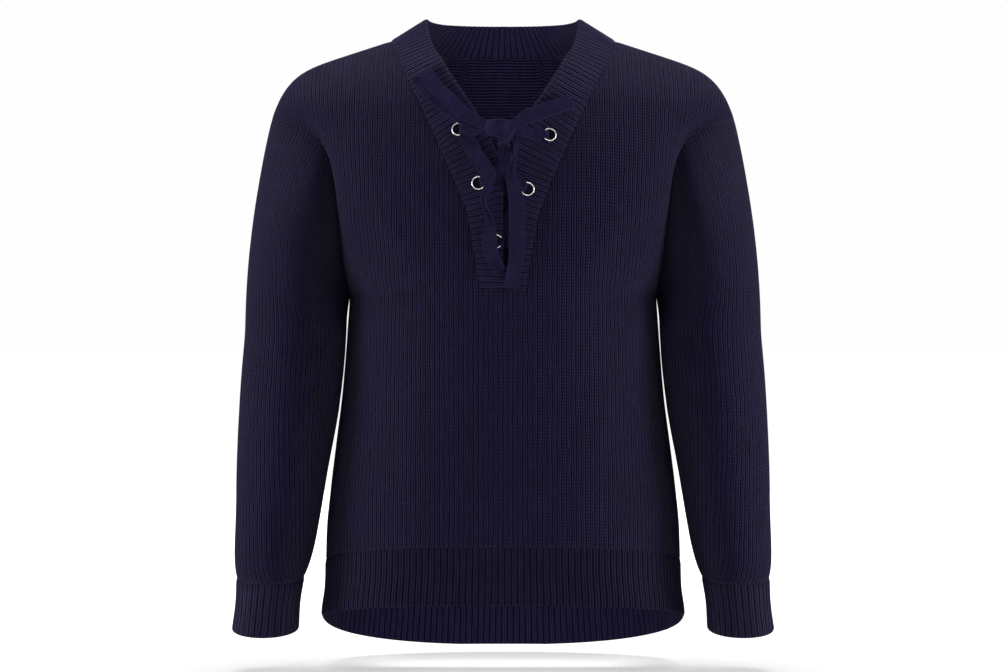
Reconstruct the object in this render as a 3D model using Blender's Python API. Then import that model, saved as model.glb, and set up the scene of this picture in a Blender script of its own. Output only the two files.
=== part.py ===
"""V-neck sweater with a laced neckband, filled out as worn, front towards -Y, +Z up, in metres."""

import math
from collections import namedtuple

import bmesh
import bpy
import numpy as np
from mathutils import Vector

# Sizes of the cloth, in metres
MM = 0.001
WALL = 0.0030
SEAM = 0.0002
RIB_HEIGHT = 0.0008
RIB_PITCH = 0.0064
BODY_ROUNDNESS = 2.3
SIDE_SEAM_Y = 0.012

# Columns of each half panel, from the centre to its edge
FRONT_NOTCH = 1
BACK_NOTCH = 2
PANEL_COLUMNS = 8
BACK_NOTCH_ROW = 8

# Height of the rib welts
WELT = 0.0585

# Eyelets
EYELET_OUTER = 0.0070
EYELET_HOLE = 0.0053
EYELET_BARREL = 0.0058
EYELET_CUT = 0.0062
EYELET_FLANGE = 0.0009

# Lace
RIBBON = 0.0007

# Rows of the two panels below the armpit: height at the side and at the centre of each panel
Low = namedtuple("Low", "side_z half_width front_z front_y back_z back_y")
LOW_ROWS = [
    Low(-539.5, 185.5, -515.7, -114.0, -580.5, 112.0),
    Low(-500.0, 184.0, -478.0, -114.5, -536.0, 111.0),
    Low(-458.0, 179.4, -439.0, -115.5, -489.0, 110.0),
    Low(-415.0, 173.9, -399.0, -117.0, -440.5, 110.0),
    Low(-372.0, 168.6, -360.0, -119.0, -392.0, 111.5),
    Low(-333.0, 165.3, -325.0, -121.5, -348.0, 114.0),
    Low(-296.0, 162.6, -291.0, -124.5, -304.0, 116.5),
    Low(-262.0, 160.6, -258.5, -126.8, -260.0, 118.0),
]

# Rows of the front above the armpit: a point of the V's seam, and one of the armhole
High = namedtuple("High", "neck_x neck_y neck_z arm_x arm_y arm_z")
FRONT_ROWS = [
    High(22.9, -126.5, -258.5, 160.6, 12.0, -262.0),
    High(26.2, -126.2, -236.0, 160.8, -14.0, -254.0),
    High(30.5, -125.5, -211.0, 163.0, -34.0, -236.0),
    High(35.5, -124.5, -184.0, 166.0, -47.0, -208.0),
    High(44.0, -121.5, -160.0, 169.5, -54.0, -176.0),
    High(54.5, -117.0, -135.0, 173.0, -56.0, -145.0),
    High(66.5, -108.5, -107.0, 179.5, -53.0, -117.0),
    High(78.5, -97.5, -81.0, 188.0, -47.0, -98.0),
    High(89.5, -85.5, -58.0, 200.0, -41.0, -88.0),
    High(99.5, -71.0, -39.0, 213.0, -33.0, -83.0),
    High(108.5, -51.0, -20.0, 226.0, -23.0, -79.5),
    High(115.0, -25.0, -3.0, 237.0, -10.0, -77.0),
    High(118.0, 10.0, 5.0, 242.0, 5.0, -76.0),
]
BACK_ROWS = [
    High(45.0, 112.0, -260.0, 160.6, 12.0, -262.0),
    High(45.0, 113.0, -232.0, 160.8, 36.0, -254.0),
    High(45.0, 114.0, -203.0, 163.0, 52.0, -236.0),
    High(45.0, 114.5, -173.0, 166.0, 62.0, -208.0),
    High(45.0, 114.0, -142.0, 169.5, 67.0, -176.0),
    High(45.0, 113.0, -111.0, 173.0, 68.0, -145.0),
    High(45.0, 110.5, -79.0, 179.5, 65.0, -117.0),
    High(45.0, 106.0, -43.0, 188.0, 58.0, -98.0),
    High(45.0, 97.0, -1.5, 200.0, 51.0, -88.0),
    High(75.0, 86.0, 0.0, 213.0, 42.0, -83.0),
    High(100.0, 60.0, 3.0, 226.0, 32.0, -79.5),
    High(113.5, 34.0, 5.0, 237.0, 19.5, -77.0),
    High(118.0, 10.0, 5.0, 242.0, 5.0, -76.0),
]

# Free edge of the neckband, a row for each point of its seam, from the foot of the V to the nape
Free = namedtuple("Free", "x y z aside")
FREE_EDGE = [
    Free(1.5, -127.6, -257.9, 2.7),
    Free(1.5, -127.4, -238.0, 2.7),
    Free(1.7, -126.8, -207.0, 2.7),
    Free(1.9, -125.6, -176.0, 2.7),
    Free(2.0, -122.8, -145.5, 2.4),
    Free(10.0, -117.3, -113.5, 1.0),
    Free(26.2, -107.5, -79.5, 0.0),
    Free(40.5, -99.0, -57.5, 0.0),
    Free(52.5, -88.0, -38.5, 0.0),
    Free(63.0, -74.0, -20.5, 0.0),
    Free(71.8, -54.0, -5.5, 0.0),
    Free(77.4, -26.0, 12.5, 0.0),
    Free(79.8, 8.0, 28.4, 0.0),
    Free(76.5, 30.0, 28.6, 0.0),
    Free(66.5, 47.0, 28.0, 0.0),
    Free(50.0, 61.0, 28.3, 0.0),
    Free(30.0, 69.0, 28.5, 0.0),
    Free(15.0, 71.5, 28.5, 0.0),
    Free(0.0, 72.0, 28.5, 0.0),
]

# Rings of the sleeve below the cap
Ring = namedtuple("Ring", "z x half_width y half_depth tilt")
SLEEVE_RINGS = [
    Ring(-300.0, 214.7, 52.4, -21.0, 57.0, 0.0),
    Ring(-341.0, 217.8, 52.7, -25.0, 56.0, 0.0),
    Ring(-391.0, 222.4, 50.9, -27.6, 54.5, 0.0),
    Ring(-440.0, 227.8, 47.2, -31.4, 51.0, 0.02),
    Ring(-490.0, 232.1, 43.4, -35.4, 47.0, 0.04),
    Ring(-526.0, 236.0, 40.4, -38.5, 44.0, 0.08),
    Ring(-543.0, 238.2, 37.6, -40.5, 41.0, 0.12),
    Ring(-551.5, 239.2, 34.6, -41.3, 37.5, 0.15),
]
CUFF_RINGS = [
    Ring(-551.5, 239.2, 34.6, -41.3, 37.5, 0.15),
    Ring(-577.0, 241.7, 32.9, -43.4, 35.5, 0.15),
    Ring(-605.0, 244.2, 33.9, -45.0, 36.5, 0.15),
]
CAP_ROWS = 5

Spot = namedtuple("Spot", "name x z")
EYELETS = [
    Spot("eyelet_right_1", -44.5, -97.0),
    Spot("eyelet_right_2", -24.4, -151.5),
    Spot("eyelet_right_3", -6.8, -209.8),
    Spot("eyelet_left_1", 46.5, -102.6),
    Spot("eyelet_left_2", 24.3, -157.6),
    Spot("eyelet_left_3", 12.6, -211.3),
]

# The lace, a ribbon 15 mm wide, in lengths. A station gives its middle in the front view, how far
# it lies in front of the band, the way it runs in degrees, half the width it shows, and how much
# further forward its left edge is than its right
Lay = namedtuple("Lay", "x z out heading half roll")
Length = namedtuple("Length", "name start start_side stations end end_side")
LACE = [
    Length("lace_bar", "eyelet_right_3", 1, [], "eyelet_left_3", 1),
    Length("lace_low_right", "eyelet_right_3", -1, [Lay(8.7, -183.7, -5.0, 59, 4.0, 0)], "eyelet_left_2", -1),
    Length(
        "lace_low_left",
        "eyelet_left_3",
        -1,
        [Lay(5.6, -200.2, -7.6, 122, 4.0, 0), Lay(-5.9, -181.4, -8.0, 122, 5.0, 0)],
        "eyelet_right_2",
        -1,
    ),
    Length(
        "lace_cross_left",
        "eyelet_left_2",
        1,
        [
            Lay(10.0, -147.0, 3.4, 140, 5.5, 0),
            Lay(2.0, -137.5, 3.4, 122, 5.0, 0),
            Lay(-3.0, -125.0, 3.2, 105, 4.4, 0),
            Lay(-1.0, -116.5, 2.6, 130, 3.6, 0),
            Lay(-3.0, -109.5, -1.0, 150, 3.8, 0),
            Lay(-5.6, -107.4, -4.8, 165, 4.0, 0),
            Lay(-11.5, -105.6, -6.4, 165, 4.5, 0),
            Lay(-25.0, -102.5, -6.8, 165, 5.5, 0),
        ],
        "eyelet_right_1",
        -1,
    ),
    Length(
        "lace_cross_right",
        "eyelet_right_2",
        1,
        [
            Lay(-9.0, -143.0, 4.8, 42, 5.5, 0),
            Lay(-0.5, -134.0, 4.8, 58, 5.0, 0),
            Lay(4.5, -124.0, 4.6, 75, 4.4, 0),
            Lay(4.0, -116.0, 4.0, 50, 3.6, 0),
            Lay(5.4, -109.5, -1.0, 30, 3.8, 0),
            Lay(8.0, -107.2, -4.8, 15, 4.0, 0),
            Lay(14.0, -105.4, -6.4, 12, 4.5, 0),
            Lay(28.0, -103.4, -6.8, 6, 5.5, 0),
        ],
        "eyelet_left_1",
        -1,
    ),
    Length(
        "lace_lead_right",
        "eyelet_right_1",
        1,
        [Lay(-30.0, -97.4, 4.2, 0, 5.0, 0), Lay(-18.4, -98.2, 7.4, -4, 3.6, 0)],
        None,
        0,
    ),
    Length(
        "lace_lead_left",
        "eyelet_left_1",
        1,
        [Lay(30.0, -101.4, 4.4, 176, 5.4, 0), Lay(13.8, -100.2, 8.7, 178, 3.8, 0)],
        None,
        0,
    ),
    Length(
        "bow_right_front",
        None,
        0,
        [
            Lay(-19.1, -92.5, 8.8, 148, 4.4, 0),
            Lay(-34.7, -84.1, 8.8, 143, 5.8, 0),
            Lay(-53.0, -67.6, 7.6, 137, 6.8, 0),
            Lay(-70.2, -50.5, 6.4, 133, 7.2, 0),
            Lay(-82.4, -35.8, 5.2, 130, 7.2, 0),
        ],
        None,
        0,
    ),
    Length(
        "bow_right_back",
        None,
        0,
        [
            Lay(-23.0, -94.2, 7.5, 150, 4.6, 0),
            Lay(-42.0, -84.5, 5.6, 147, 6.8, 0),
            Lay(-61.8, -69.7, 4.2, 141, 6.8, 0),
            Lay(-76.9, -55.2, 3.2, 135, 7.0, 0),
            Lay(-84.0, -42.0, 1.8, 122, 7.0, 0),
        ],
        None,
        0,
    ),
    Length(
        "bow_left_front",
        None,
        0,
        [
            Lay(12.6, -91.8, 10.0, 26, 4.8, 0),
            Lay(21.0, -86.0, 9.0, 22, 6.8, 0),
            Lay(38.5, -79.0, 8.0, 19, 7.4, 0),
            Lay(53.5, -73.4, 6.4, 19, 7.4, 0),
            Lay(65.0, -68.6, 4.6, 22, 7.2, 0),
        ],
        None,
        0,
    ),
    Length(
        "bow_left_back",
        None,
        0,
        [
            Lay(15.0, -92.4, 8.3, 26, 3.0, 0),
            Lay(22.0, -87.5, 6.8, 22, 5.6, 0),
            Lay(38.5, -80.0, 5.8, 19, 6.6, 0),
            Lay(53.5, -74.4, 4.4, 19, 6.8, 0),
            Lay(64.0, -69.8, 1.7, 22, 6.8, 0),
        ],
        None,
        0,
    ),
    Length(
        "tail_right",
        None,
        0,
        [
            Lay(-38.3, -101.5, 2.0, -57, 5.5, 0),
            Lay(-33.6, -109.2, 2.6, -57, 7.2, 0),
            Lay(-27.5, -122.0, 4.6, -57, 7.4, 0),
            Lay(-19.5, -134.5, 6.4, -58, 7.4, 0),
            Lay(-12.8, -146.0, 6.8, -64, 6.6, 0),
            Lay(-15.5, -157.0, 6.6, -104, 4.0, 0),
            Lay(-19.4, -167.0, 6.2, -88, 2.6, 0),
            Lay(-14.8, -182.0, 5.8, -70, 2.6, 0),
            Lay(-12.6, -194.0, 5.6, -80, 4.6, 0),
            Lay(-13.2, -207.0, 5.4, -88, 7.0, 0),
            Lay(-12.0, -221.0, 4.4, -78, 7.2, 0),
            Lay(-6.8, -232.0, 3.0, -63, 6.6, 0),
            Lay(-1.6, -240.0, 1.9, -57, 5.2, 0),
        ],
        None,
        0,
    ),
    Length(
        "tail_left",
        None,
        0,
        [
            Lay(11.5, -105.3, 9.0, -84, 2.6, 1),
            Lay(12.4, -109.6, 7.6, -84, 2.4, 4),
            Lay(13.0, -115.0, 7.4, -90, 2.0, 6),
            Lay(11.5, -128.5, 8.4, -102, 2.6, 4),
            Lay(8.4, -144.0, 7.8, -98, 4.8, 2),
            Lay(11.0, -157.0, 7.2, -76, 6.6, 1),
            Lay(13.5, -170.0, 6.8, -86, 7.2, 0),
            Lay(13.8, -193.0, 6.4, -90, 7.4, 0),
            Lay(14.0, -218.0, 6.0, -92, 7.4, 0),
            Lay(11.0, -240.0, 4.0, -100, 7.4, 0),
            Lay(7.2, -256.5, 1.8, -104, 7.2, 0),
        ],
        None,
        0,
    ),
    Length(
        "lace_knot",
        None,
        0,
        [
            Lay(-17.6, -95.0, 7.6, -6, 4.5, 0),
            Lay(-14.8, -95.2, 11.2, -8, 6.6, 0),
            Lay(-4.0, -96.5, 12.8, -12, 9.0, 0),
            Lay(5.0, -99.2, 12.4, -20, 10.0, 0),
            Lay(9.4, -101.0, 11.2, -26, 8.4, 0),
            Lay(10.8, -101.6, 9.2, -28, 6.4, 0),
        ],
        None,
        0,
    ),
]
# A ribbon lies square to the band up to this far off it, straight forward of it further off, mm
NEAR_BAND = 3.3
# Where a length passes an eyelet: distance from its middle, forward of the band, half width
THROUGH_FRONT = [(0.6, -1.0, 3.6), (3.5, 2.9, 2.9), (8.6, 3.2, 6.0)]
THROUGH_BACK = [(0.6, -1.8, 3.6), (3.5, -4.9, 2.9), (8.6, -5.2, 3.8)]


def arc(points, count):
    """Resample a polyline to count points an equal way apart."""
    points = np.asarray(points, float)
    steps = np.linalg.norm(np.diff(points, axis=0), axis=1)
    along = np.concatenate([[0.0], np.cumsum(steps)])
    wanted = np.linspace(0.0, along[-1], count)
    return np.stack([np.interp(wanted, along, points[:, k]) for k in range(3)], axis=1)


def panel_row(neck, arm, notch, low_sag):
    """Half a row: from the centre round to the side or armhole, notch columns first."""
    neck = np.array(neck) * MM
    arm = np.array(arm) * MM
    share = min(abs(neck[0] / arm[0]), 0.98)
    fall = (1.0 - share**BODY_ROUNDNESS) ** (1.0 / BODY_ROUNDNESS)
    centre_y = arm[1] + (neck[1] - arm[1]) / fall
    turn = np.linspace(0.0, math.pi / 2, 400)
    x = arm[0] * np.sin(turn) ** (2.0 / BODY_ROUNDNESS)
    y = arm[1] + (centre_y - arm[1]) * np.clip(np.cos(turn), 0.0, 1.0) ** (2.0 / BODY_ROUNDNESS)
    across = np.clip((x - neck[0]) / (arm[0] - neck[0]), 0.0, 1.0)
    sloped = 0.5 * across + 0.5 * across**8
    turned = np.clip(1.0 - (y - arm[1]) / (neck[1] - arm[1] + 1e-9), 0.0, 1.0)
    z = neck[2] + (arm[2] - neck[2]) * (sloped * (1.0 - low_sag) + turned * low_sag)
    row = np.stack([x, y, z], axis=1)
    outer = row[x > neck[0]]
    outer = arc(np.vstack([neck, outer, arm]), PANEL_COLUMNS + 1)
    outer[0] = neck
    outer[-1] = arm
    if not notch:
        return outer
    inner = np.stack([np.linspace(0.0, neck[0], notch + 1)] * 3, axis=1)
    inner[:, 1] = arm[1] + (centre_y - arm[1]) * (1.0 - (inner[:, 0] / arm[0]) ** BODY_ROUNDNESS) ** (
        1.0 / BODY_ROUNDNESS
    )
    inner[:, 2] = neck[2]
    return np.vstack([inner[:-1], outer])


def low_row(low, front):
    """Half a row below the armpit."""
    notch = FRONT_NOTCH if front else BACK_NOTCH
    neck_x = FRONT_ROWS[0].neck_x if front else BACK_ROWS[0].neck_x
    depth = low.front_y if front else low.back_y
    z = low.front_z if front else low.back_z
    share = neck_x / low.half_width
    fall = (1.0 - share**BODY_ROUNDNESS) ** (1.0 / BODY_ROUNDNESS)
    side_y = SIDE_SEAM_Y / MM
    neck = (neck_x, side_y + (depth - side_y) * fall, z)
    return panel_row(neck, (low.half_width, side_y, low.side_z), notch, 1.0)


def panel(front):
    """The points and faces of the front or the back, with the rows' vertex numbers."""
    notch = FRONT_NOTCH if front else BACK_NOTCH
    rows = FRONT_ROWS if front else BACK_ROWS
    notch_row = 0 if front else BACK_NOTCH_ROW
    halves = [low_row(low, front) for low in LOW_ROWS[:-1]]
    for k, high in enumerate(rows):
        neck = (high.neck_x, high.neck_y, high.neck_z)
        arm = (high.arm_x, high.arm_y, high.arm_z)
        halves.append(panel_row(neck, arm, notch if k <= notch_row else 0, 0.0))
    last_full = len(LOW_ROWS) - 1 + notch_row
    reach = notch + PANEL_COLUMNS
    points = []
    numbers = []
    for k, half in enumerate(halves):
        row = {}
        first = 0 if k <= last_full else notch
        for j in range(first, reach + 1):
            at = half[j - first]
            for side in (1, -1):
                if side * j not in row:
                    row[side * j] = len(points)
                    points.append((side * at[0], at[1], at[2]))
        numbers.append(row)
    faces = []
    for k in range(len(numbers) - 1):
        for j in range(-reach, reach):
            if k >= last_full and -notch <= j < notch:
                continue
            quad = [numbers[k][j], numbers[k][j + 1], numbers[k + 1][j + 1], numbers[k + 1][j]]
            faces.append(quad if front else quad[::-1])
    return np.array(points), faces, numbers


def ring_points(ring, angles):
    """A ring of the left sleeve, starting at its outer side and turning to the front."""
    x = ring.x + ring.half_width * np.cos(angles)
    y = ring.y - ring.half_depth * np.sin(angles)
    z = ring.z + ring.tilt * (y - ring.y)
    return np.stack([x, y, z], axis=1) * MM


def sleeve(armhole, front_rows):
    """The left sleeve's rings: from the armhole by a rounded cap to the straight rings."""
    count = len(armhole)
    half = front_rows
    first = np.zeros(count)
    for part in (range(0, half + 1), range(half, count + 1)):
        part = list(part)
        ends = [armhole[k % count] for k in part]
        steps = np.linalg.norm(np.diff(np.array(ends), axis=0), axis=1)
        along = np.concatenate([[0.0], np.cumsum(steps)])
        along = along / along[-1]
        start = 0.0 if part[0] == 0 else math.pi
        for k, share in zip(part, along):
            if k < count:
                first[k] = start + share * math.pi
    target = ring_points(SLEEVE_RINGS[0], first)
    rings = [np.array(armhole)]
    reach = np.linalg.norm(target - armhole, axis=1)
    facing = np.sin(first)
    outward = np.cos(first)
    for k in range(1, CAP_ROWS):
        t = k / CAP_ROWS
        h00 = 2 * t**3 - 3 * t**2 + 1
        h10 = t**3 - 2 * t**2 + t
        h01 = -2 * t**3 + 3 * t**2
        h11 = t**3 - t**2
        leave = np.stack(
            [
                0.15 + 0.25 * np.abs(facing) + 0.05 * outward,
                -0.62 * facing,
                -0.75 - 0.1 * outward,
            ],
            axis=1,
        )
        arrive = np.zeros((count, 3))
        arrive[:, 2] = -1.0
        ring = h00 * armhole + h01 * target
        ring = ring + h10 * leave * reach[:, None] + h11 * arrive * reach[:, None]
        rings.append(ring)
    rings.append(target)
    equal = np.linspace(0.0, 2 * math.pi, count, endpoint=False)
    for k, ring in enumerate(SLEEVE_RINGS[1:]):
        ease = min(1.0, (k + 1) / 4)
        rings.append(ring_points(ring, first * (1 - ease) + equal * ease))
    return rings


def ring_faces(rings, count):
    faces = []
    for k in range(rings - 1):
        for j in range(count):
            n = (j + 1) % count
            faces.append([k * count + j, k * count + n, (k + 1) * count + n, (k + 1) * count + j])
    return faces


def normals_of(points, faces):
    """Outward normals of the points, weighted by the area of their faces."""
    out = np.zeros_like(points)
    for face in faces:
        corner = points[face]
        n = np.zeros(3)
        for k in range(1, len(face) - 1):
            n = n + np.cross(corner[k] - corner[0], corner[k + 1] - corner[0])
        for v in face:
            out[v] += n
    return out / np.maximum(np.linalg.norm(out, axis=1), 1e-12)[:, None]


def inward(points, faces):
    """For each edge point of a surface, the way from it into the surface."""
    sums = {}
    seen = {}
    for face in faces:
        for a, b in zip(face, face[1:] + face[:1]):
            seen[(a, b)] = face
    rim = [(a, b) for a, b in seen if (b, a) not in seen]
    rim_points = {v for edge in rim for v in edge}
    for face in faces:
        middle = points[face].mean(axis=0)
        for v in face:
            if v in rim_points:
                step = middle - points[v]
                sums[v] = sums.get(v, np.zeros(3)) + step / np.linalg.norm(step)
    tangents = {}
    for a, b in rim:
        along = points[b] - points[a]
        along = along / np.linalg.norm(along)
        for v in (a, b):
            tangents.setdefault(v, []).append(along)
    result = {}
    for v, way in sums.items():
        along = sum(tangents[v])
        along = along / max(np.linalg.norm(along), 1e-9)
        if len(tangents[v]) == 2 and np.dot(tangents[v][0], tangents[v][1]) > 0.5:
            way = way - along * np.dot(way, along)
        result[v] = way / max(np.linalg.norm(way), 1e-9)
    return result, rim


def close_wall(outer, inner, faces, rim):
    """Faces of the outer side, the inner side and the rim between them."""
    count = len(outer)
    solid = [list(face) for face in faces]
    solid += [[v + count for v in reversed(face)] for face in faces]
    solid += [[b, a, a + count, b + count] for a, b in rim]
    return np.vstack([outer, inner]), solid


def make(name, points, faces, color, roughness, metallic=0.0):
    mesh = bpy.data.meshes.new(name)
    mesh.from_pydata([tuple(map(float, p)) for p in points], [], [list(f) for f in faces])
    bm = bmesh.new()
    bm.from_mesh(mesh)
    bmesh.ops.recalc_face_normals(bm, faces=bm.faces)
    bm.to_mesh(mesh)
    bm.free()
    mesh.validate()
    mesh.update()
    obj = bpy.data.objects.new(name, mesh)
    home.objects.link(obj)
    material = bpy.data.materials.new(name)
    material.use_nodes = True
    shader = material.node_tree.nodes["Principled BSDF"]
    shader.inputs["Base Color"].default_value = (*color, 1.0)
    shader.inputs["Roughness"].default_value = roughness
    shader.inputs["Metallic"].default_value = metallic
    mesh.materials.append(material)
    return obj


def key(point):
    return tuple(int(round(v * 1e6)) for v in point)


def mirrored(points):
    return np.asarray(points) * np.array([-1.0, 1.0, 1.0])


# Start from an empty scene, with one collection for the sweater
for old in list(bpy.data.objects):
    bpy.data.objects.remove(old)
home = bpy.data.collections.new("v_neck_sweater")
bpy.context.scene.collection.children.link(home)

NAVY = (0.018, 0.013, 0.045)
RIB_NAVY = (0.021, 0.016, 0.048)
LACE_NAVY = (0.022, 0.016, 0.058)
STEEL = (0.78, 0.76, 0.72)

# Front and back panels, and the armhole they leave open
front_points, front_faces, front_numbers = panel(True)
back_points, back_faces, back_numbers = panel(False)
base = len(LOW_ROWS) - 1
front_reach = FRONT_NOTCH + PANEL_COLUMNS
back_reach = BACK_NOTCH + PANEL_COLUMNS
top = len(FRONT_ROWS) - 1
armhole = [front_points[front_numbers[base + k][front_reach]] for k in range(top, -1, -1)]
armhole += [back_points[back_numbers[base + k][back_reach]] for k in range(1, top)]
armhole = np.array(armhole)

# Sleeves, which share the armhole's points until the seams are parted
sleeve_rings = sleeve(armhole, top)
ring_size = len(armhole)
left_points = np.vstack(sleeve_rings)
left_faces = ring_faces(len(sleeve_rings), ring_size)
right_points = mirrored(left_points)
right_faces = [face[::-1] for face in left_faces]
SHEETS = {
    "front": (front_points, front_faces),
    "back": (back_points, back_faces),
    "sleeve_left": (left_points, left_faces),
    "sleeve_right": (right_points, right_faces),
}

# Where two pieces meet at a ridge, both walls take one mitred direction
normal_at = {name: normals_of(points, faces) for name, (points, faces) in SHEETS.items()}
way_in = {}
rims = {}
for name, (points, faces) in SHEETS.items():
    way_in[name], rims[name] = inward(points, faces)
meeting = {}
for name, (points, faces) in SHEETS.items():
    for v in way_in[name]:
        meeting.setdefault(key(points[v]), []).append((name, v))
wall_way = {name: -WALL * normal_at[name] for name in SHEETS}
for pieces in meeting.values():
    for name, v in pieces:
        own = normal_at[name][v]
        group = [(other, w) for other, w in pieces if np.dot(normal_at[other][w], own) > 0.2]
        if len(group) < 2:
            continue
        total = sum(normal_at[other][w] for other, w in group)
        total = total / np.linalg.norm(total)
        inside = sum(way_in[other][w] for other, w in group)
        if np.dot(total, inside) < 0.15:
            wall_way[name][v] = -WALL * total / max(np.dot(own, total), 0.75)
for name, numbers, notch in (("front", front_numbers, FRONT_NOTCH), ("back", back_numbers, BACK_NOTCH)):
    notch_row = base + (0 if name == "front" else BACK_NOTCH_ROW)
    for side in (1, -1):
        line = [numbers[notch_row][side * j] for j in range(notch)]
        line += [numbers[k][side * notch] for k in range(notch_row, base + top)]
        ways = [wall_way[name][v] for v in line]
        for n in range(1, len(line) - 1):
            mean = ways[n - 1] + 2 * ways[n] + ways[n + 1]
            wall_way[name][line[n]] = WALL * mean / np.linalg.norm(mean)
inner_points = {}
for name, (points, faces) in SHEETS.items():
    inner = points + wall_way[name]
    outer = points.copy()
    for v, way in way_in[name].items():
        outer[v] = outer[v] + SEAM * way
        inner[v] = inner[v] + SEAM * way
    inner_points[name] = (outer, inner)
    solid, solid_faces = close_wall(outer, inner, faces, rims[name])
    make(name, solid, solid_faces, NAVY, 0.9)


def split(points, parts):
    """Straight steps between points, as many to a length as parts says."""
    out = [points[0]]
    for a, b, n in zip(points[:-1], points[1:], parts):
        for k in range(1, n + 1):
            out.append(a + (b - a) * k / n)
    return np.array(out)


def ribbed(outer_rows, inner_rows, coarse, ring, slit=None):
    """A ribbed wall: rows of fine outer points over rows of plain inner ones.

    coarse is how many outer columns go to each inner column. The outer points
    already stand off the wall by the height of the ribs. slit is the last
    column of the joined tab at each end, for the neckband.
    """
    rows = len(outer_rows)
    fine = len(outer_rows[0])
    plain = len(inner_rows[0])
    points = np.vstack(list(outer_rows) + list(inner_rows))
    start = rows * fine
    faces = []
    fine_steps = fine if ring else fine - 1
    plain_steps = plain if ring else plain - 1

    def out(r, c):
        return r * fine + c % fine

    def inn(r, c):
        return start + r * plain + c % plain

    for r in range(rows - 1):
        for c in range(fine_steps):
            faces.append([out(r, c), out(r, c + 1), out(r + 1, c + 1), out(r + 1, c)])
        for c in range(plain_steps):
            faces.append([inn(r, c + 1), inn(r, c), inn(r + 1, c), inn(r + 1, c + 1)])
    middle = coarse // 2
    for r, flip in ((0, False), (rows - 1, True)):
        for c in range(plain_steps):
            joined = slit and r == rows - 1 and (c < slit or c >= plain_steps - slit)
            if joined:
                continue
            piece = []
            for m in range(coarse):
                near = inn(r, c) if m < middle else inn(r, c + 1)
                piece.append([out(r, c * coarse + m + 1), out(r, c * coarse + m), near])
            piece.append([inn(r, c + 1), out(r, c * coarse + middle), inn(r, c)])
            faces += [f[::-1] for f in piece] if flip else piece
    if not ring:
        for r in range(rows - 1):
            faces.append([out(r, 0), out(r + 1, 0), inn(r + 1, 0), inn(r, 0)])
            faces.append([out(r + 1, fine - 1), out(r, fine - 1), inn(r, plain - 1), inn(r + 1, plain - 1)])
    if slit:
        last = rows - 1
        for c in range(slit * coarse):
            a, b = out(last, c), out(last, c + 1)
            d, e = out(last, fine - 1 - c), out(last, fine - 2 - c)
            faces.append([a, b, e, d])
        for c in range(slit):
            a, b = inn(last, c), inn(last, c + 1)
            d, e = inn(last, plain - 1 - c), inn(last, plain - 2 - c)
            faces.append([b, a, d, e])
        faces.append([out(last, 0), out(last, fine - 1), inn(last, plain - 1), inn(last, 0)])
        c = slit * coarse
        faces.append([out(last, fine - 1 - c), out(last, c), inn(last, slit), inn(last, plain - 1 - slit)])
    return points, faces


def rib_offsets(count):
    """Every second outer column is the crest of a rib."""
    return RIB_HEIGHT * (np.arange(count) % 2)


def rib_rows(rows, normals, parts, coarse, ring):
    """Outer rows with raised ribs and inner rows, from the coarse rows of a welt."""
    outer_rows = []
    inner_rows = []
    for row, normal in zip(rows, normals):
        if ring:
            row = np.vstack([row, row[:1]])
            normal = np.vstack([normal, normal[:1]])
        plain = split(row, parts)
        plain_normal = split(normal, parts)
        fine = split(plain, [coarse] * (len(plain) - 1))
        fine_normal = split(plain_normal, [coarse] * (len(plain) - 1))
        outer = fine + fine_normal * rib_offsets(len(fine))[:, None]
        inside = plain - plain_normal * WALL
        if ring:
            outer = outer[:-1]
            inside = inside[:-1]
        outer_rows.append(outer)
        inner_rows.append(inside)
    return outer_rows, inner_rows


def flat_normals(row, ring, sign=1.0):
    """Level outward normals of a row, which ends at side seams if it isn't a ring."""
    if ring:
        ahead = np.roll(row, -1, axis=0) - np.roll(row, 1, axis=0)
    else:
        ahead = np.gradient(row, axis=0)
    out = sign * np.stack([ahead[:, 1], -ahead[:, 0], np.zeros(len(row))], axis=1)
    if not ring:
        out[0] = (-np.linalg.norm(out[0]), 0.0, 0.0)
        out[-1] = (np.linalg.norm(out[-1]), 0.0, 0.0)
    return out / np.linalg.norm(out, axis=1)[:, None]


# Rib welts of the front and the back
HEM_TABLE = [
    (0.0, 185.5, -114.0, 112.0),
    (0.5, 186.4, -113.6, 112.0),
    (0.92, 189.6, -114.6, 113.0),
    (1.0, 189.8, -114.6, 113.0),
]
for name, front in (("hem_front", True), ("hem_back", False)):
    sheet_name = "front" if front else "back"
    numbers = front_numbers if front else back_numbers
    points = front_points if front else back_points
    reach = front_reach if front else back_reach
    edge = points[[numbers[0][j] for j in range(-reach, reach + 1)]]
    sign = 1.0 if front else -1.0
    rows = []
    for drop, half_width, front_y, back_y in HEM_TABLE:
        row = edge.copy()
        row[:, 0] *= half_width / LOW_ROWS[0].half_width
        depth = front_y if front else back_y
        reach_y = LOW_ROWS[0].front_y if front else LOW_ROWS[0].back_y
        side = SIDE_SEAM_Y
        row[:, 1] = side + (row[:, 1] - side) * (depth * MM - side) / (reach_y * MM - side)
        row[:, 2] -= 2 * SEAM + drop * (WELT - 2 * SEAM)
        row[[0, -1], 1] -= sign * SEAM
        rows.append(row)
    normals = [flat_normals(row, False, sign) for row in rows]
    lengths = np.linalg.norm(np.diff(edge, axis=0), axis=1)
    parts = [max(1, int(round(n / RIB_PITCH / 2))) for n in lengths]
    outer_rows, inner_rows = rib_rows(rows, normals, parts, 4, False)
    solid, faces = ribbed(outer_rows, inner_rows, 4, False)
    make(name, solid, faces, RIB_NAVY, 0.9)

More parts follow.
